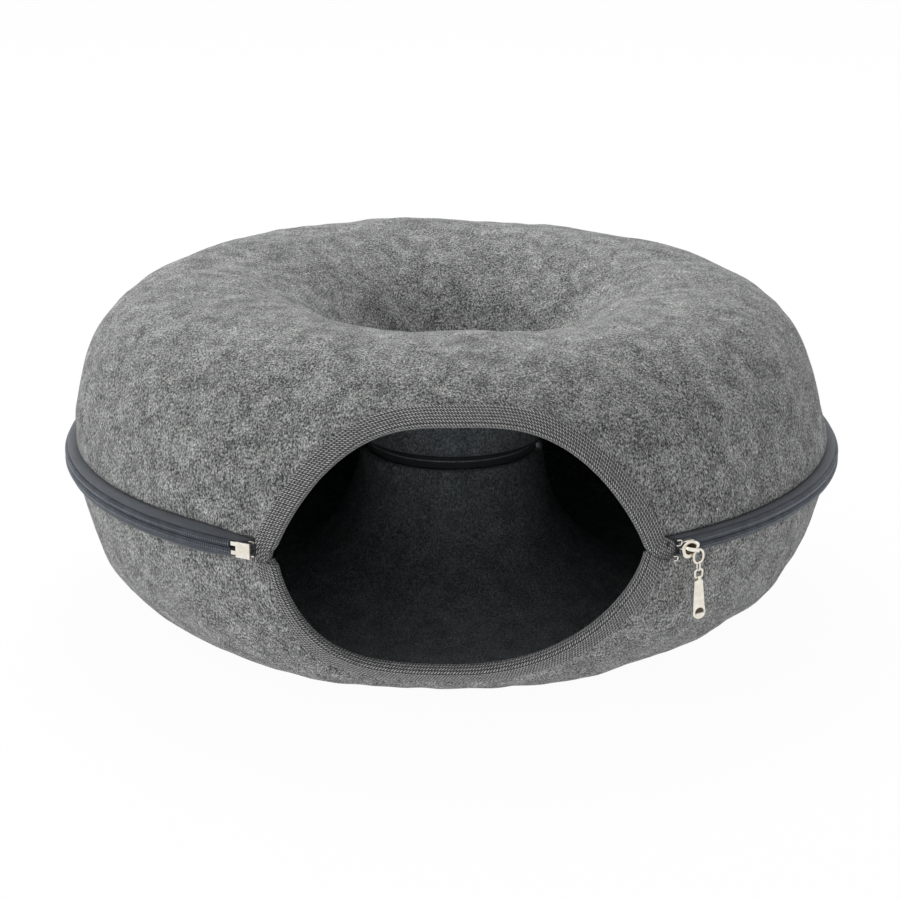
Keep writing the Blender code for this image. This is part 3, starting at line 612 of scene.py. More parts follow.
def webbing_material(settings):
    """Woven binding: rows of slanted floats of yarn, dark between them."""
    material, tree, shader = new_material("woven_webbing", Roughness=0.78, Sheen_Weight=0.1)
    along, across, _ = woven_in(tree)
    row = calc(tree, "MULTIPLY", across, settings.rows / settings.width)
    in_row = calc(tree, "FRACT", row)
    step = calc(tree, "MULTIPLY", calc(tree, "FLOOR", row), 0.41)
    run = calc(tree, "MULTIPLY_ADD", along, 1 / settings.pick, step)
    slanted = calc(tree, "FRACT", calc(tree, "MULTIPLY_ADD", in_row, 1.1, run))
    ridge = calc(tree, "SINE", calc(tree, "MULTIPLY", in_row, pi))
    pick = calc(tree, "SINE", calc(tree, "MULTIPLY", slanted, pi))
    raised = calc(tree, "MULTIPLY", calc(tree, "POWER", ridge, 0.7), spread(tree, pick, 0.2, 1.0))
    speckle = grey_noise(tree, object_space(tree), 700.0)
    crisp = calc(tree, "POWER", spread(tree, raised, 0.16, 0.86), 1.1)
    uneven = calc(tree, "MULTIPLY", crisp, spread(tree, speckle, 0.3, 0.7, 0.45, 1.35))
    colour = between(tree, uneven, paint(settings.shade), paint(settings.colour))
    feed(tree, shader, Base_Color=colour, Normal=bump(tree, raised, 0.0005))
    return material


def tape_material(settings):
    """Zip tape: a close weave with a little sheen, with painted shade under the coil and at the ends."""
    material, tree, shader = new_material("zip_tape", Roughness=0.62, Sheen_Weight=0.25, Sheen_Roughness=0.5)
    along, across, painted_shade = woven_in(tree)
    rib = calc(tree, "SINE", calc(tree, "MULTIPLY", across, tau / 0.0006))
    cross = calc(tree, "SINE", calc(tree, "MULTIPLY", along, tau / 0.0008))
    cloth = calc(tree, "MULTIPLY", rib, cross)
    wear = grey_noise(tree, object_space(tree), 60.0, 3.0, 0.6)
    mottled = between(tree, spread(tree, wear, 0.35, 0.65), paint(settings.tape), paint(settings.tape, 1.28))
    unshaded = between(tree, spread(tree, cloth, -1.0, 1.0, 0.35, 0.0), mottled, paint(settings.tape, 0.72))
    # Painted shade: the tape darkens under the coil and towards its ends
    colour = between(tree, painted_shade, unshaded, paint(settings.painted_shade))
    feed(tree, shader, Base_Color=colour, Normal=bump(tree, cloth, 0.00008))
    return material


def nylon_material(settings):
    """Moulded nylon: satin and a little cloudy."""
    material, tree, shader = new_material("nylon_teeth", Roughness=0.34)
    cloudy = grey_noise(tree, object_space(tree), 160.0)
    colour = between(tree, spread(tree, cloudy, 0.35, 0.65), paint(settings.teeth), paint(settings.teeth, 1.7))
    feed(tree, shader, Base_Color=colour, Roughness=spread(tree, cloudy, 0.3, 0.7, 0.28, 0.42))
    return material


def thread_material(settings):
    """Sewing thread, darker in its twist."""
    material, tree, shader = new_material("sewing_thread", Roughness=0.6, Sheen_Weight=0.2)
    twist = grey_noise(tree, object_space(tree), 1800.0, 1.0)
    colour = between(tree, spread(tree, twist, 0.35, 0.65), paint(settings.thread, 0.55), paint(settings.thread))
    feed(tree, shader, Base_Color=colour, Normal=bump(tree, twist, 0.0001))
    return material


def nickel_material(settings):
    """Plated metal: bright, a little warm, with fine rubbing and duller patches, and a dark reflection and shade
    painted into its dishes.
    """
    material, tree, shader = new_material("bright_nickel", Metallic=1.0)
    here = object_space(tree)
    rubbed = grey_noise(tree, here, 900.0, 3.0, 0.6)
    dull = grey_noise(tree, here, 220.0)
    warm = paint([value * share for value, share in zip(settings.colour, (0.93, 0.90, 0.84))])
    plating = between(tree, spread(tree, dull, 0.4, 0.6), paint(settings.colour), warm)
    # Painted reflection and shade: marked places take the dark dish colour
    colour = between(tree, woven_in(tree)[0], plating, paint(settings.painted_reflection))
    roughness = spread(tree, dull, 0.35, 0.65, settings.roughness * 0.7, settings.roughness * 1.7)
    feed(tree, shader, Base_Color=colour, Roughness=roughness, Normal=bump(tree, rubbed, 0.00002))
    return material


def nickel():
    """The plated metal, made the first time that it is asked for."""
    return bpy.data.materials.get("bright_nickel") or nickel_material(bpy.context.scene.tunnel_metal)


def plated(obj, node):
    """The object in nickel, in the place of one node."""
    dress(obj, [node], nickel())


# Felt and webbing
def felt_shell(which, skin, settings):
    """One half of the felt, with rounded edges and its columns closer together round the mouth."""
    edge_radius, calm_reach = 0.0018, 0.030  # it only sways in full this far from its edges
    past_mouth, corner_reach, crowding = 1.06, 0.12, 0.9  # where columns and rows stand closer together
    half = MOUTH_HALF_ANGLE * past_mouth
    fine = np.linspace(-half, half, settings.stations // 3)
    corner = MOUTH_HALF_ANGLE * (1 - np.linspace(0, 1, 16) ** 2 * corner_reach)
    rest = np.linspace(half, tau - half, settings.stations - len(fine) - 2 * len(corner))[1:-1]
    turns = np.unique(np.concatenate([fine, corner, -corner, rest]))[:, None]
    start = mouth_edge(skin, np.where(turns > pi, turns - tau, turns))
    end = skin.along_at(HOLE_SETBACK, False)
    share = np.linspace(0, 1, settings.courses)
    along = start + (end - start) * (share - crowding * np.sin(tau * share) / tau)
    edge = np.minimum(along - start, end - along)
    calm = eased(edge / calm_reach)
    skin_at = skin.place(turns, along)
    sway = sum(settings.sway * part * calm * unevenness(skin_at, wave, seed) for part, wave, seed in UNEVEN)
    if skin.side > 0:
        bulge = -CROWN_LEAN * np.sin(turns)
    else:
        bulge = BELLY_OVAL * np.cos(2 * (turns + radians(20)))
    middle = sway + calm * bulge - settings.thickness / 2
    wall = settings.thickness / 2 * rounded(edge, edge_radius)
    front, back = (skin.place(turns, along, middle + lift) for lift in (wall, -wall))
    front[..., 2] = np.maximum(front[..., 2], 0.0)
    # Painted shade: the back face, inside the ring, is marked for the darker inside colours
    shaded_inside = np.zeros((2, *along.shape, 3))
    shaded_inside[1, ..., 0] = 1.0
    return band(f"{which}_felt", (front, back), shaded_inside, closed=True)


def binding_line(skin, ends, pace):
    """The mouth's outline at an even pace, carried past the seam at either corner.

    Each end, the right one first, is a lap past the seam, how much the lap curls to the right, and the
    height off the seam where it starts. The arrays are azimuth, distance along the skin, both parts of
    the way off the mouth, and the run from each end.
    """
    first, last = (asin((start / skin.rise) ** (1 / skin.powers[0])) for _, _, start in ends)
    azimuth, along = mouth_outline(skin, np.linspace(first, pi - last, 6001))
    flat = np.stack([azimuth * FELT_RADIUS, along], -1)
    for lap, curl, _ in ends:
        inward = flat[60] - flat[0]  # the way that the outline sets off
        inward /= np.linalg.norm(inward)
        reach = np.linspace(lap, 0.0001, 30)[:, None]
        past = flat[0] - inward * reach
        past[:, :1] += curl * reach**2
        flat = np.vstack([past, flat])[::-1]  # the other end comes next
    radius = skin.profile(flat[:, 1])[0]
    azimuth, along = flat[:, 0] / FELT_RADIUS, flat[:, 1]
    run = totals(np.hypot(np.diff(azimuth) * radius[1:], np.diff(along)))
    even = np.linspace(0, run[-1], int(run[-1] / pace))
    azimuth, along, radius = (np.interp(even, run, line) for line in (azimuth, along, radius))
    over, climb = np.gradient(azimuth) * radius, np.gradient(along)
    length = np.hypot(over, climb)
    window = 9
    over, climb = (
        np.convolve(np.pad(line, window // 2, "edge"), np.ones(window) / window, "valid")
        for line in (climb / length, -over / length)
    )
    return azimuth, along, over, climb, even, even[::-1]


def binding(which, skin, felt, settings):
    """Webbing folded over the cut edge. Each end of the upper one is a rounded tongue that laps the seam."""
    if skin.side > 0:
        ends = (settings.lap, RIGHT_CURL, MOUTH_END), (settings.left_lap, LEFT_CURL, MOUTH_END)
    else:
        ends = (LOWER_LAP, 0.0, MOUTH_END), (LOWER_LAP, 0.0, settings.left_lap - 0.0015)
    azimuth, along, over, climb, begun, left = binding_line(skin, ends, WEBBING_PACE)
    right = begun < left

    # Its section: over the outer face, round the cut edge and back over the inner face
    front, back = settings.thickness / 2 + FELT_EASE, -(felt + settings.thickness / 2 + FELT_EASE)
    reach, half, leg_end = 0.0019, (front - back) / 2, 0.0006
    bend = np.linspace(pi / 2, -pi / 2, 13)[1:-1]
    fold = [(-reach * cos(t) + leg_end, front - half + half * sin(t)) for t in bend]
    legs = np.linspace(settings.width, leg_end, 40)
    line = np.array([(leg, front) for leg in legs] + fold + [(leg, back) for leg in legs[::-3]])
    sides, run_across = sides_of(line), run_along(line)
    edge = np.minimum(run_across, run_across[-1] - run_across)
    ridge = YARN_RIDGE * np.sin(pi * (run_across * settings.rows / settings.width % 1)) ** 0.7
    middle = (settings.width - reach) / 2

    # Its ends: rounded in outline, unfolded where they lap the seam, and standing off the skin
    rise_reach, unfold_from, unfold_over = 0.016, -0.0012, 0.0030
    to_end = np.minimum(begun, left)
    full = rounded(to_end, np.where(~right | (skin.side > 0), settings.width / 2, 0.003))[:, None]
    lap = np.where(right, ends[0][0], ends[1][0])
    folded = eased((to_end - lap - unfold_from) / unfold_over)[:, None]
    raised = (1 - eased(to_end / rise_reach)) * np.where(right, settings.end_rise, settings.left_end_rise)
    raised = raised[:, None] * (skin.side > 0)
    wall = settings.thickness / 2 * rounded(np.minimum(edge, to_end[:, None] + 0.0001), 0.0007)
    grids = []
    for face, lift in ((wall, wall + ridge), (-wall, -wall)):
        leg = middle + (line[:, 0] + sides[:, 0] * lift - middle) * full
        level = front + face
        off = line[:, 1] + sides[:, 1] * lift
        off = level + (off - level) * np.where(run_across > settings.width, folded, 1.0)
        spot = skin.profile(along)[0][:, None]
        turns, course = azimuth[:, None] + over[:, None] * leg / spot, along[:, None] + climb[:, None] * leg
        grids.append(skin.place(turns, course, off + raised))
    weave = np.zeros((len(begun), len(line), 3))
    weave[..., 0], weave[..., 1] = begun[:, None], run_across
    return band(f"{which}_binding", grids, weave)


# Zips
class Chain:
    """Places on one zip: along it by azimuth, across it from the seam, and high off the middle of its tapes."""

    def __init__(self, name, facing, share):
        self.name, self.facing, self.share = name, facing, share
        self.coil = span_of(f"{name}_upper_coil")
        self.tape = span_of(f"{name}_upper_tape")
        radius = round_ring(node_points(f"{name}_upper_coil"))[1]
        face = radius.max() if facing > 0 else radius.min()
        self.radius = face - facing * (COIL_HEIGHT + TAPE_THICKNESS / 2) * share - facing * TAPE_SINK

    def azimuths(self, skin, pitch):
        """Where the bars of one half's coil stand. The two coils' bars take turns."""
        start, end = self.coil
        count = int((end - start) * self.radius / (pitch * self.share))
        shift = 0.25 if skin.side > 0 else 0.75
        return (start + (np.arange(count) + shift) * (end - start) / count)[:, None]

    def place(self, azimuth, run, across, height):
        """Points from an azimuth, a run along the zip from it, a height across the seam and one off the tape."""
        return ring_place(azimuth + run / self.radius, self.radius + self.facing * height, across)


OUTER = Chain("outer_zip", 1, 1.0)
HOLE = Chain("hole_zip", -1, 0.75)

# The outer tape's line from the seam, over the lip and on behind the felt: out from the tape's own
# radius, and off the seam
TAPE_LINE = (
    (0, 0.0004), (0, 0.0024), (0.0001, LIP_FOOT), (0.0007, 0.0046), (0.0012, 0.0054), (0.0010, 0.0064),
    (0, 0.0073), (-0.0018, 0.0078), (-0.0038, 0.0077), (-0.0060, 0.0076), (-0.0082, 0.0080),
    (-0.0110, 0.0094), (-0.0112, 0.0150), (-0.0114, 0.0215),
)


def tape(chain, skin, which):
    """Cloth from under a coil, over the lip that rolls round the felt's edge, and on behind the felt."""
    if chain is OUTER:
        points = np.array(TAPE_LINE) * (1, skin.side) + (chain.radius, 0)
        tuck, stations = END_TUCK / chain.radius, 460
    else:
        heights = np.linspace(0.0003, HOLE_SETBACK + HOLE_TAPE_GRIP, 8)
        points = np.stack(skin.profile(skin.along_at(heights, False), HOLE_TAPE_EASE), -1)
        tuck, stations = 0.0, 200
    line = smooth_path(points, 34)
    sides, run = sides_of(line), run_along(line)
    wall = TAPE_THICKNESS / 2 * chain.share * rounded(np.minimum(run, run[-1] - run), TAPE_EDGE)
    first, last = chain.tape
    start, stop = first - tuck, last + tuck
    turns = [np.linspace(start, stop, stations)]
    fine = 0.05  # its columns stand closer together in this angle at either side of the frame's ends
    turns += [np.linspace(end - fine, end + fine, 60).clip(start, stop) for end in (first, last)]
    turns = np.unique(np.concatenate(turns))[:, None]
    inset = np.minimum(turns - first, last - turns) * chain.radius
    weave = np.zeros((len(turns), len(line), 3))
    weave[..., 0], weave[..., 1] = turns * chain.radius, run
    # Painted shade: darker towards the ends, under the webbing's tongues, and under the coil
    weave[..., 2] = np.maximum(1 - eased(inset / SHADED_END), SEAM_SHADE * (run < SHADED_SEAM * chain.share))
    grids = []
    for lift in (wall, -wall):
        out, up = (np.broadcast_to(part, weave.shape[:2]) for part in (line + sides * lift[:, None]).T)
        if chain is OUTER:
            narrow = LIP_SHARE * narrowing(turns)
            out = np.where(out > chain.radius, chain.radius + (out - chain.radius) * (1 - narrow), out)
            up = np.where(abs(up) > LIP_FOOT, np.sign(up) * (abs(up) - narrow * (abs(up) - LIP_FOOT)), up)
            # Both ends sink into the felt, the lip over a longer way than the flat part by the seam
            lip = eased((abs(up) - LIP_FROM) / LIP_OVER)
            sunk = FELT_RADIUS + SEAM_SWELL - END_SINK + lift
            lip_held, flat_held = (eased((inset - begin) / over) for begin, over in (LIP_RISES, FLAT_RISES))
            held = lip * lip_held + (1 - lip) * flat_held
            out = np.where(out > sunk, sunk + (out - sunk) * held, out)
        grids.append(ring_place(turns, out, up))
    return band(f"{chain.name}_{which}_cloth", grids, weave)


# One bar of the outer coil, off the seam and off the tape, in millimetres
BAR = (
    (4.20, 0.45), (4.42, 1.20), (4.20, 2.05), (3.50, 2.52), (2.50, 2.62), (1.50, 2.52), (0.85, 2.35),
    (0.42, 1.95), (0.30, 1.30),
)
BAR_HALF_WIDTH, BAR_HALF_DEPTH, BAR_MIDDLE, BAR_SLANT = 0.00042, 0.00036, 0.0022, 0.10
STITCH_HALF_WIDTH, STITCH_HALF_DEPTH, STITCH_PLACE, STITCH_STRAY = 0.00040, 0.00020, 0.0024, 0.00005
STITCH_REACH, STITCH_FOOT, STITCH_RISE = 0.36, 2.35, 0.72  # of a loop of thread, in millimetres


def teeth(chain, skin, which, pitch):
    """The bars of one coil, each bent back to the tape at its outer end and down to its head at the seam."""
    share = chain.share
    line = smooth_path(BAR, 11) * 0.001 * share
    slant = (line[:, 0] - BAR_MIDDLE * share) * BAR_SLANT
    broad = np.full(len(line), BAR_HALF_WIDTH * share)
    broad[-3:] *= (1.12, 1.2, 1.0)  # the head is a little broader
    thick = np.column_stack([np.zeros(len(line)), sides_of(line) * BAR_HALF_DEPTH * share])
    bar, faces = tube(np.column_stack([slant, line]), np.outer(broad, ALONG), thick, circle(6))
    places = chain.place(chain.azimuths(skin, pitch), bar[:, 0], skin.side * bar[:, 1], bar[:, 2])
    return mesh_object(f"{chain.name}_{which}_teeth", *joined((place, faces) for place in places))


def stitches(chain, skin, which, pitch):
    """The sewing that holds a coil down: one short loop of thread over each bar."""
    share = chain.share
    turn = np.linspace(0, pi, 6)
    height = STITCH_FOOT + STITCH_RISE * np.sin(turn) ** 0.7
    path = np.stack([STITCH_REACH * np.cos(turn), np.zeros(len(turn)), height], -1) * 0.001 * share
    flat, thick = ACROSS * STITCH_HALF_WIDTH * share, OUT * STITCH_HALF_DEPTH * share
    loop, faces = tube(path, flat, thick, circle(6))
    azimuths = chain.azimuths(skin, pitch)
    nudge = np.random.default_rng(21 + skin.side).normal(0, STITCH_STRAY, (2, len(azimuths), 1)) * share
    across = skin.side * (STITCH_PLACE * share + loop[:, 1])
    places = chain.place(azimuths, loop[:, 0] + nudge[0], across + nudge[1], loop[:, 2])
    return mesh_object(f"{chain.name}_{which}_thread", *joined((place, faces) for place in places))


class Seat:
    """The frame of one piece of zip hardware: along the zip, across it, and off the middle of the tapes."""

    def __init__(self, chain, node):
        azimuths = round_ring(node_points(node))[0]
        if azimuths.max() - azimuths.min() > pi:
            azimuths = azimuths % tau
        self.chain, self.azimuth = chain, (azimuths.min() + azimuths.max()) / 2

    def place(self, points):
        """Points in the row frame from places along, across and off the tapes, in a flat frame."""
        along, across, height = np.moveaxis(np.asarray(points, float), -1, 0)
        radius = self.chain.radius + self.chain.facing * height
        x = radius * sin(self.azimuth) + along * cos(self.azimuth)
        y = AXIS_Y - radius * cos(self.azimuth) + along * sin(self.azimuth)
        return np.stack([x, y, SEAM + across], -1)


# The sliders' castings. Half outlines are in shares of the length and width, levels in shares of an
# outline and millimetres up, and all the rest in millimetres at the outer zip's gauge
FACE = (
    (-0.50, 0.00), (-0.49, 0.20), (-0.42, 0.36), (-0.30, 0.46), (-0.12, 0.50), (0.06, 0.47),
    (0.22, 0.38), (0.35, 0.27), (0.44, 0.16), (0.495, 0.06), (0.50, 0.00),
)
BACK = ((-0.48, 0.00), (-0.46, 0.20), (-0.36, 0.32), (0.00, 0.33), (0.30, 0.31), (0.42, 0.18), (0.45, 0.00))
RIM = (
    (0.90, 0.0), (0.975, 0.06), (1.0, 0.32), (1.0, 0.72), (0.985, 1.0), (0.95, 1.16), (0.90, 1.22), (0.80, 1.22),
)
DISH = ((0.66, 1.10), (0.58, 0.60), (0.4, 0.40), (0.05, 0.38))
CROWN = ((0.5, 1.3), (0.05, 1.32))
POST = ((-6.0, 0), (-5.0, 1.0), (-3.4, 1.1), (-2.0, 0), (-3.4, -1.1), (-5.0, -1.0))
SKIRT = ((-5.0, 4.2), (-3.6, 4.6), (-1.0, 4.8), (1.6, 4.7), (3.2, 4.3))
BAIL = ((-4.4, 0.2), (-4.42, 1.4), (-4.25, 2.75), (-3.6, 3.55), (-2.2, 3.85), (0, 3.95))
PLATE_CORNERS = 64
SLIDER_SIZE = (12.6, 10.4)
SLIDER_FACE, SLIDER_BACK, SKIRT_FOOT = 3.95, 1.15, 1.1  # off the middle of the tapes
POST_IN_BACK, POST_IN_FACE = 0.4, 0.5  # how far the post runs into the plates
SKIRT_HALF_WIDTH, SKIRT_OVER = 0.42, 0.3
BAIL_HALF_WIDTH, BAIL_HALF_DEPTH = 0.85, 0.55
BAIL_SWELL, SKIRT_POINT = 0.35, 0.12  # how much broader the bail is in its middle, how blunt a skirt's ends
SLIDER_EASE, HOLE_SLIDER_RISE = 0.00015, 0.0004  # in metres: room behind the tapes and over the hole's coils
SKIRT_LIFT = 0.0003  # in metres too


def slider(chain, node):
    """A cast slider: a dished face plate, a back plate, the post between, side skirts and a bail."""
    seat, mm = Seat(chain, node), 0.001 * chain.share
    lean = SLIDER_LEAN * chain.facing
    tilt, aside = np.array([cos(lean), -sin(lean)]), np.array([sin(lean), cos(lean)])
    face = SLIDER_FACE * mm + (HOLE_SLIDER_RISE if chain is HOLE else 0.0)
    back = -(SLIDER_BACK * mm + SLIDER_EASE)
    shapes = []
    for half, low, rise, levels in ((FACE, face, mm, RIM + DISH), (BACK, back, -mm, RIM + CROWN)):
        half = np.array(half) * (np.array(SLIDER_SIZE) * mm)
        outline = round_loop(np.vstack([half, half[-2:0:-1] * (1, -1)]), PLATE_CORNERS)
        if rise > 0:
            outline = outline @ np.column_stack([tilt, aside])
        shapes.append(crowned_plate(outline, [(share, low + rise * up) for share, up in levels]))
    ends = [(1.0, back - POST_IN_BACK * mm), (1.0, face + POST_IN_FACE * mm)]
    shapes.append(crowned_plate(round_loop(POST, 24) * mm, ends))
    for side in (1, -1):
        line = smooth_path(SKIRT, 18) * mm * (1, side)
        taper = np.sqrt(np.clip(np.sin(np.linspace(SKIRT_POINT, pi - SKIRT_POINT, len(line))), 0, 1))[:, None]
        out = lifted(sides_of(line)) * SKIRT_HALF_WIDTH * mm
        up = OUT * ((face - SKIRT_FOOT * mm) / 2 + SKIRT_OVER * mm)
        path = lifted(line, (face + SKIRT_FOOT * mm) / 2 + SKIRT_LIFT)
        shapes.append(tube(path, out * taper, up * taper, soft_square()))
    line = smooth_path([*BAIL, *((-place, up) for place, up in BAIL[-2::-1])], 30) * mm + (0, face)
    path, thick = (np.column_stack([flat[:, :1] * tilt, flat[:, 1]]) for flat in (line, sides_of(line)))
    swell = 1.0 + BAIL_SWELL * np.cos(np.linspace(-pi / 2, pi / 2, len(line)))[:, None]
    broad = lifted([aside])[0] * BAIL_HALF_WIDTH * mm * swell
    shapes.append(tube(path, broad, thick * BAIL_HALF_DEPTH * mm, soft_square()))
    points, faces = joined(shapes)
    points[:, 1] -= SLIDER_DROP * chain.share
    painted_reflection = np.zeros(points.shape)
    dish_start, dish_end = (PLATE_CORNERS * (len(RIM) + count) for count in (1, len(DISH)))
    painted_reflection[dish_start:dish_end, 0] = 1.0  # painted reflection and shade: the dish's floor is painted dark
    return mesh_object(node.replace("_body", "_casting"), seat.place(points), faces, painted_reflection)


# How each loop of the pull is bent: its share of the gauge, whether it lies flat on the felt or stands
# out from it, how square it is, and how far it hangs off its place along, across and off the zip
LOOPS = {
    "outer_pull_ring": (1.0, True, 2.2, (0.0005, -0.0028, 0)),
    "outer_pull_eye": (0.65, False, 2.4, (0.0007, -0.0032, 0)),
    "outer_pull_link": (0.9, True, 3.6, (0.0010, -0.0038, 0)),
}


def wire_loop(node, gauge, flat, power, slack):
    """A closed wire in the place of one of the pull's loops."""
    seat = Seat(OUTER, "outer_slider_body")
    azimuth, radius, height = round_ring(node_points(node))
    turned = azimuth - seat.azimuth
    spots = np.stack([radius * np.sin(turned), height, radius * np.cos(turned) - OUTER.radius], -1)
    low, high = spots.min(0), spots.max(0)
    centre, half = (low + high) / 2 + slack, (high - low) / 2 - gauge / 2
    broad, thin = (ALONG, OUT) if flat else (OUT, ALONG)
    turns = np.linspace(0, tau, 72, endpoint=False)
    over, up = (np.sign(wave) * np.abs(wave) ** (2 / power) for wave in (np.cos(turns), np.sin(turns)))
    path = np.stack([over * (half @ broad), up * half[1]], -1)
    way = np.roll(path, -1, 0) - np.roll(path, 1, 0)
    way /= np.linalg.norm(way, axis=1)[:, None]
    line = centre + path[:, :1] * broad + path[:, 1:] * ACROSS
    out = (way[:, 1:] * broad - way[:, :1] * ACROSS) * gauge / 2
    points, faces = tube(line, out, thin * gauge / 2, circle(14), closed=True)
    return mesh_object(node.replace("outer_", "") + "_wire", seat.place(points), faces)


CLIP_HEIGHT, CLIP_WIRE, CLIP_BREADTH = 0.0034, 0.00036, 0.0009
CLIP = ((-1.7, 1.5), (0.3, 1.6), (1.3, 1.1), (1.6, 0.0), (1.3, -1.1), (0.3, -1.6), (-1.7, -1.5))


def stop_clip(which, side):
    """A wire staple closed round one coil's end."""
    seat = Seat(OUTER, f"outer_zip_{which}_stop")
    size, along, across = (1.0, 0.0010, 0.0036) if side > 0 else (0.8, -0.0012, 0.0054)
    line = (smooth_path(CLIP, 26) * 0.001 * size + (along, across)) * (1, side)
    wire = lifted(sides_of(line)) * CLIP_WIRE
    points, faces = tube(lifted(line, CLIP_HEIGHT), wire, OUT * CLIP_BREADTH, circle(12))
    return mesh_object(f"outer_{which}_stop_clip", seat.place(points), faces)


def pull_tab():
    """The flat tab on its knuckle: it widens to a thick round foot with a dish in its face."""
    seat = Seat(OUTER, "outer_pull_tab")
    _, radius, height = round_ring(node_points("outer_pull_tab"))
    middle = (radius.min() + radius.max()) / 2 - OUTER.radius
    above, longer = 0.0016, 0.0034  # what the knuckle takes above the pivot, and the tab past the frame's own
    pivot = height.max() - above - TAB_SLACK
    foot = pivot - height.min() + longer
    first, tip = 0.0011, 0.0001  # the rows start here, and the last ones crowd this near the foot's end
    drop = np.append(np.linspace(first, foot - tip, 70), foot - tip * np.array([0.6, 0.3, 0.1]))[:, None]
    places = [TAB_TOP, TAB_NECK_FROM, foot - TAB_SPREAD, foot - TAB_ROUND, foot]
    half = np.interp(drop, places, [TAB_NECK * 0.9, TAB_NECK, TAB_WIDE * 0.94, TAB_WIDE, TAB_WIDE])
    rounding = np.clip((drop - (foot - TAB_WIDE)) / TAB_WIDE, 0, 1)
    half = half * np.sqrt(np.clip(1 - rounding**2, 0.0004, 1))
    half *= np.sqrt(np.clip(1 - (1 - np.clip((drop - TAB_TOP) / 0.0008, 0, 1)) ** 2, 0.2, 1))
    across = half * np.sin(np.linspace(-pi / 2, pi / 2, 33))
    thin, more, thicker_from, thicker_over, edge_radius = 0.00080, 0.00035, 0.0078, 0.0010, 0.0004
    thick = thin + more * eased((drop - (foot - thicker_from)) / thicker_over)
    wall = thick * rounded(np.minimum(half - abs(across), foot - drop), edge_radius)
    dish_up, dish_reach, dish_margin, dish_depth = 0.0042, 0.0031, 0.0008, 0.0007
    spot = np.hypot(across / (TAB_WIDE - dish_margin), (drop - (foot - dish_up)) / dish_reach)
    dish = dish_depth * eased((1.0 - spot) / 0.22)
    along = across + TAB_LEAN * drop + TAB_ASIDE
    grids = [
        np.stack(np.broadcast_arrays(along, pivot - drop, middle + lift), -1) for lift in (wall - dish, -wall)
    ]
    knuckle_radius, knuckle_wall, knuckle_half = 0.00125, 0.00036, 0.0013
    turns = np.linspace(0, tau, 28, endpoint=False)
    radial = np.column_stack([np.zeros(len(turns)), np.cos(turns), np.sin(turns)])
    ring = (TAB_ASIDE, pivot, middle) + radial * knuckle_radius
    knuckle = tube(ring, radial * knuckle_wall, ALONG * knuckle_half, circle(12), closed=True)
    points, faces = joined([band_shape(*grids), knuckle])
    painted_reflection = np.zeros(points.shape)
    # Painted reflection and shade: the dish in the tab's foot is painted dark
    painted_reflection[: spot.size, 0] = (eased((1.0 - spot) / 0.2) * eased((foot - 0.0028 - drop) / 0.0012)).ravel()
    return mesh_object("pull_tab_plate", seat.place(points), faces, painted_reflection)


class TUNNEL_OT_felt(Operator):
    """Builds the two moulded felt half shells."""

    bl_idname = "tunnel.felt"
    bl_label = "Felt shells"

    def execute(self, context):
        settings = context.scene.tunnel_felt
        material = felt_material(settings)
        for which, skin in HALVES:
            dress(felt_shell(which, skin, settings), [f"{which}_felt_shell"], material)
        return {"FINISHED"}


class TUNNEL_OT_binding(Operator):
    """Folds the webbing over both edges of the way in."""

    bl_idname = "tunnel.binding"
    bl_label = "Mouth binding"

    def execute(self, context):
        settings = context.scene.tunnel_webbing
        felt = context.scene.tunnel_felt.thickness
        material = webbing_material(settings)
        for which, skin in HALVES:
            dress(binding(which, skin, felt, settings), [f"{which}_mouth_binding"], material)
        return {"FINISHED"}


class TUNNEL_OT_zips(Operator):
    """Weaves the tapes of both zips and sets their teeth and sewing thread on them."""

    bl_idname = "tunnel.zips"
    bl_label = "Zip tapes and teeth"

    def execute(self, context):
        settings = context.scene.tunnel_zip
        cloth, nylon, yarn = tape_material(settings), nylon_material(settings), thread_material(settings)
        for chain in (OUTER, HOLE):
            for which, skin in HALVES:
                node = f"{chain.name}_{which}"
                body = NODES[f"{node}_tape"]["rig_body"]
                dress(tape(chain, skin, which), [f"{node}_tape"], cloth)
                dress(teeth(chain, skin, which, settings.pitch), [f"{node}_coil"], nylon)
                dress(stitches(chain, skin, which, settings.pitch), [], yarn, body)
        return {"FINISHED"}


class TUNNEL_OT_pulls(Operator):
    """Casts both sliders and the outer one's tab, and bends its loops and the outer zip's stops from wire."""

    bl_idname = "tunnel.pulls"
    bl_label = "Sliders and pulls"

    def execute(self, context):
        plated(slider(OUTER, "outer_slider_body"), "outer_slider_body")
        plated(slider(HOLE, "hole_slider_body"), "hole_slider_body")
        plated(pull_tab(), "outer_pull_tab")
        gauge = context.scene.tunnel_metal.gauge
        for node, (share, *bend) in LOOPS.items():
            plated(wire_loop(node, gauge * share, *bend), node)
        for which, skin in HALVES:
            plated(stop_clip(which, skin.side), f"outer_zip_{which}_stop")
        return {"FINISHED"}


class TUNNEL_OT_hardware(Operator):
    """Plates and softens what the frame itself shows: the boxes, pins, the hole zip's stops and the strap."""

    bl_idname = "tunnel.hardware"
    bl_label = "Zip hardware"

    def execute(self, context):
        for obj in NODES.values():
            if not obj.hide_render:
                obj.data.materials.clear()
                obj.data.materials.append(nickel())
                edge = obj.modifiers.new("edge", "BEVEL")
                edge.width, edge.segments, edge.harden_normals = 0.00025, 3, True
                edge.angle_limit = radians(30)
        return {"FINISHED"}


def area_lamp(name, place, aim, size, power):
    """A round soft lamp that looks at its aim."""
    light = bpy.data.lights.new(name, "AREA")
    light.shape, light.size, light.energy = "DISK", size, power
    lamp = linked(name, light)
    lamp.location = place
    lamp.rotation_euler = (Vector(aim) - Vector(place)).to_track_quat("-Z", "Y").to_euler()


def seen_directly(tree):
    """One where the camera, a gloss or a clear material looks at a surface, and zero where it only lights."""
    path = tree.nodes.new("ShaderNodeLightPath").outputs
    seen = calc(tree, "MAXIMUM", path["Is Camera Ray"], path["Is Glossy Ray"])
    return calc(tree, "MAXIMUM", seen, path["Is Transmission Ray"])


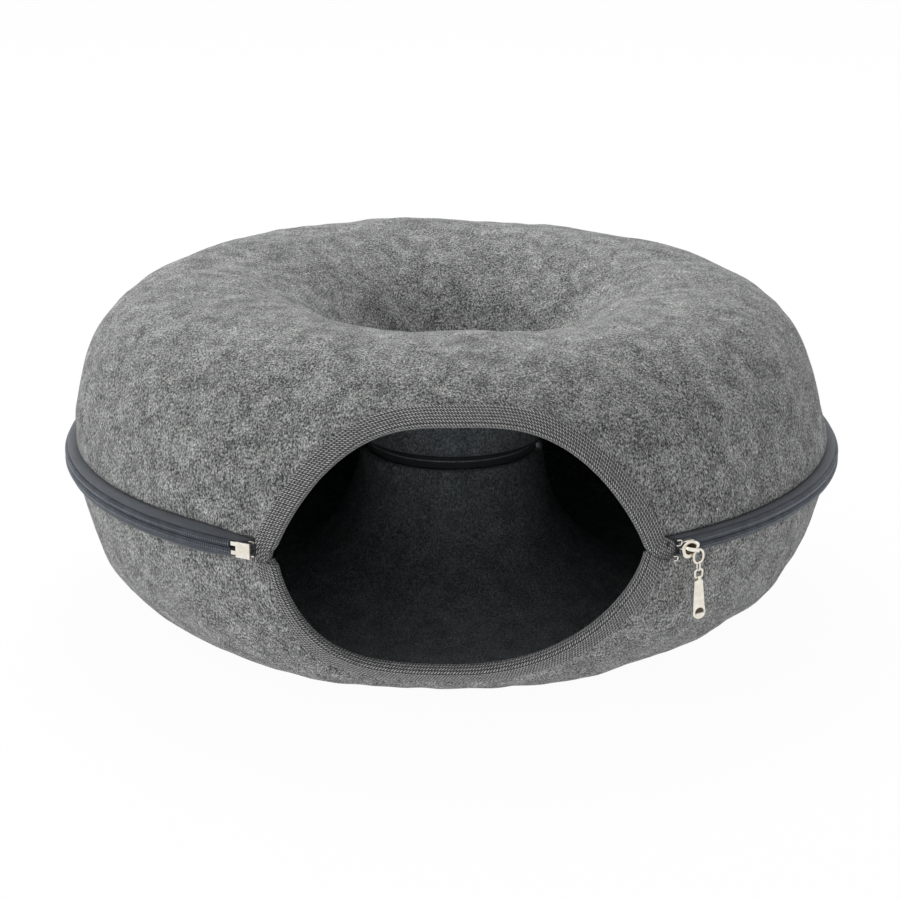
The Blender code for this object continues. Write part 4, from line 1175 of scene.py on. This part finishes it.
def white_world(ambient):
    """White to look at, and a soft light that is stronger from behind, from the left and from above."""
    world = bpy.data.worlds.new("studio")
    bpy.context.scene.world = world
    world.use_nodes = True
    tree = world.node_tree
    x, y, z = parts(tree, add_node(tree, "ShaderNodeTexCoord"))
    level = 0.70
    for way, weight in ((y, 0.62), (x, -0.6), (z, 1.2)):
        level = calc(tree, "MULTIPLY_ADD", way, weight, level)
    strength = between_values(tree, seen_directly(tree), calc(tree, "MULTIPLY", level, ambient), 1.0)
    background = tree.nodes["Background"]
    background.inputs["Color"].default_value = (1, 1, 1, 1)
    tree.links.new(strength, background.inputs["Strength"])


def studio_floor(glow, bounce):
    """A pale floor that glows white to look at, and less where it lights the ring."""
    reach = 9.0
    corners = np.array([(-reach, -reach, 0), (reach, -reach, 0), (reach, reach, 0), (-reach, reach, 0)])
    floor = mesh_object("floor", corners, [[0, 1, 2, 3]])
    material, tree, shader = new_material("pale_floor", Roughness=0.9, Base_Color=(0.93, 0.93, 0.93, 1))
    glowing = add_node(tree, "ShaderNodeEmission", {"Color": (1, 1, 1, 1), "Strength": 1.0})
    share = between_values(tree, seen_directly(tree), bounce, glow)
    mixed = add_node(tree, "ShaderNodeMixShader", {0: share, 1: shader.outputs[0], 2: glowing})
    tree.links.new(mixed, tree.nodes["Material Output"].inputs["Surface"])
    floor.data.materials.append(material)


def photo_camera():
    """The camera, in the ring's frame, where lengths count in outer radii of the ring."""
    radius, elevation, distance, roll, turn = 0.2500, radians(17.769), 6.5146, radians(0.161), radians(1.415)
    focal_length, image_width = 2488.4, 900  # in pixels
    back = Vector((0, -cos(elevation), sin(elevation)))
    right, up = Vector((1, 0, 0)), Vector((0, sin(elevation), cos(elevation)))
    target = Vector((-0.0042, 0, -0.0385))
    across = right * cos(roll) + up * sin(roll)
    over = up * cos(roll) - right * sin(roll)
    frame = Matrix((across, over, back)).transposed().to_4x4()
    frame.translation = (target + back * distance) * radius
    data = bpy.data.cameras.new("photo_camera")
    data.lens = data.sensor_width * focal_length / image_width
    camera = linked("photo_camera", data)
    camera.matrix_world = Matrix.Translation((0, AXIS_Y, SEAM)) @ Matrix.Rotation(-turn, 4, "Z") @ frame
    bpy.context.scene.camera = camera


class TUNNEL_OT_studio(Operator):
    """Sets the pale floor, the soft lights and the camera."""

    bl_idname = "tunnel.studio"
    bl_label = "Studio"

    def execute(self, context):
        settings = context.scene.tunnel_studio
        context.scene.view_settings.view_transform = "Standard"
        white_world(settings.ambient)
        studio_floor(settings.floor_glow, settings.bounce)
        area_lamp("key", (-0.2, 1.3, 2.3), (0, 0, 0.1), 1.6, settings.key)
        area_lamp("fill", (-2.0, -0.6, 0.8), (0, 0, 0.1), 1.2, settings.fill)
        photo_camera()
        return {"FINISHED"}


class TUNNEL_PT_panel(Panel):
    """Lists the pieces of the tunnel and the settings of each."""

    bl_idname = "TUNNEL_PT_panel"
    bl_label = "Cat Tunnel"
    bl_space_type = "VIEW_3D"
    bl_region_type = "UI"
    bl_category = "Cat Tunnel"

    def draw(self, context):
        for group, (_, *operators) in GROUPS.items():
            box = self.layout.box()
            for operator in operators:
                box.operator(operator.bl_idname)
            settings = getattr(context.scene, group)
            for name in settings.__annotations__:
                box.prop(settings, name)


# Each group of settings on the scene: its kind, and the operators that use it
GROUPS = {
    "tunnel_felt": (FeltSettings, TUNNEL_OT_felt),
    "tunnel_webbing": (WebbingSettings, TUNNEL_OT_binding),
    "tunnel_zip": (ZipSettings, TUNNEL_OT_zips),
    "tunnel_metal": (MetalSettings, TUNNEL_OT_pulls, TUNNEL_OT_hardware),
    "tunnel_studio": (StudioSettings, TUNNEL_OT_studio),
}
CLASSES = [*(kind for kinds in GROUPS.values() for kind in kinds), TUNNEL_PT_panel]


def register():
    for kind in CLASSES:
        bpy.utils.register_class(kind)
    for group, (kind, *_) in GROUPS.items():
        setattr(bpy.types.Scene, group, PointerProperty(type=kind))


def unregister():
    for group in GROUPS:
        delattr(bpy.types.Scene, group)
    for kind in reversed(CLASSES):
        bpy.utils.unregister_class(kind)


def clear_startup_scene():
    for obj in list(bpy.data.objects):
        if obj.name in ("Cube", "Camera", "Light"):
            bpy.data.objects.remove(obj, do_unlink=True)


def main():
    clear_startup_scene()
    register()
    bpy.ops.tunnel.felt()
    bpy.ops.tunnel.binding()
    bpy.ops.tunnel.zips()
    bpy.ops.tunnel.pulls()
    bpy.ops.tunnel.hardware()
    bpy.ops.tunnel.studio()


if __name__ == "__main__":
    main()
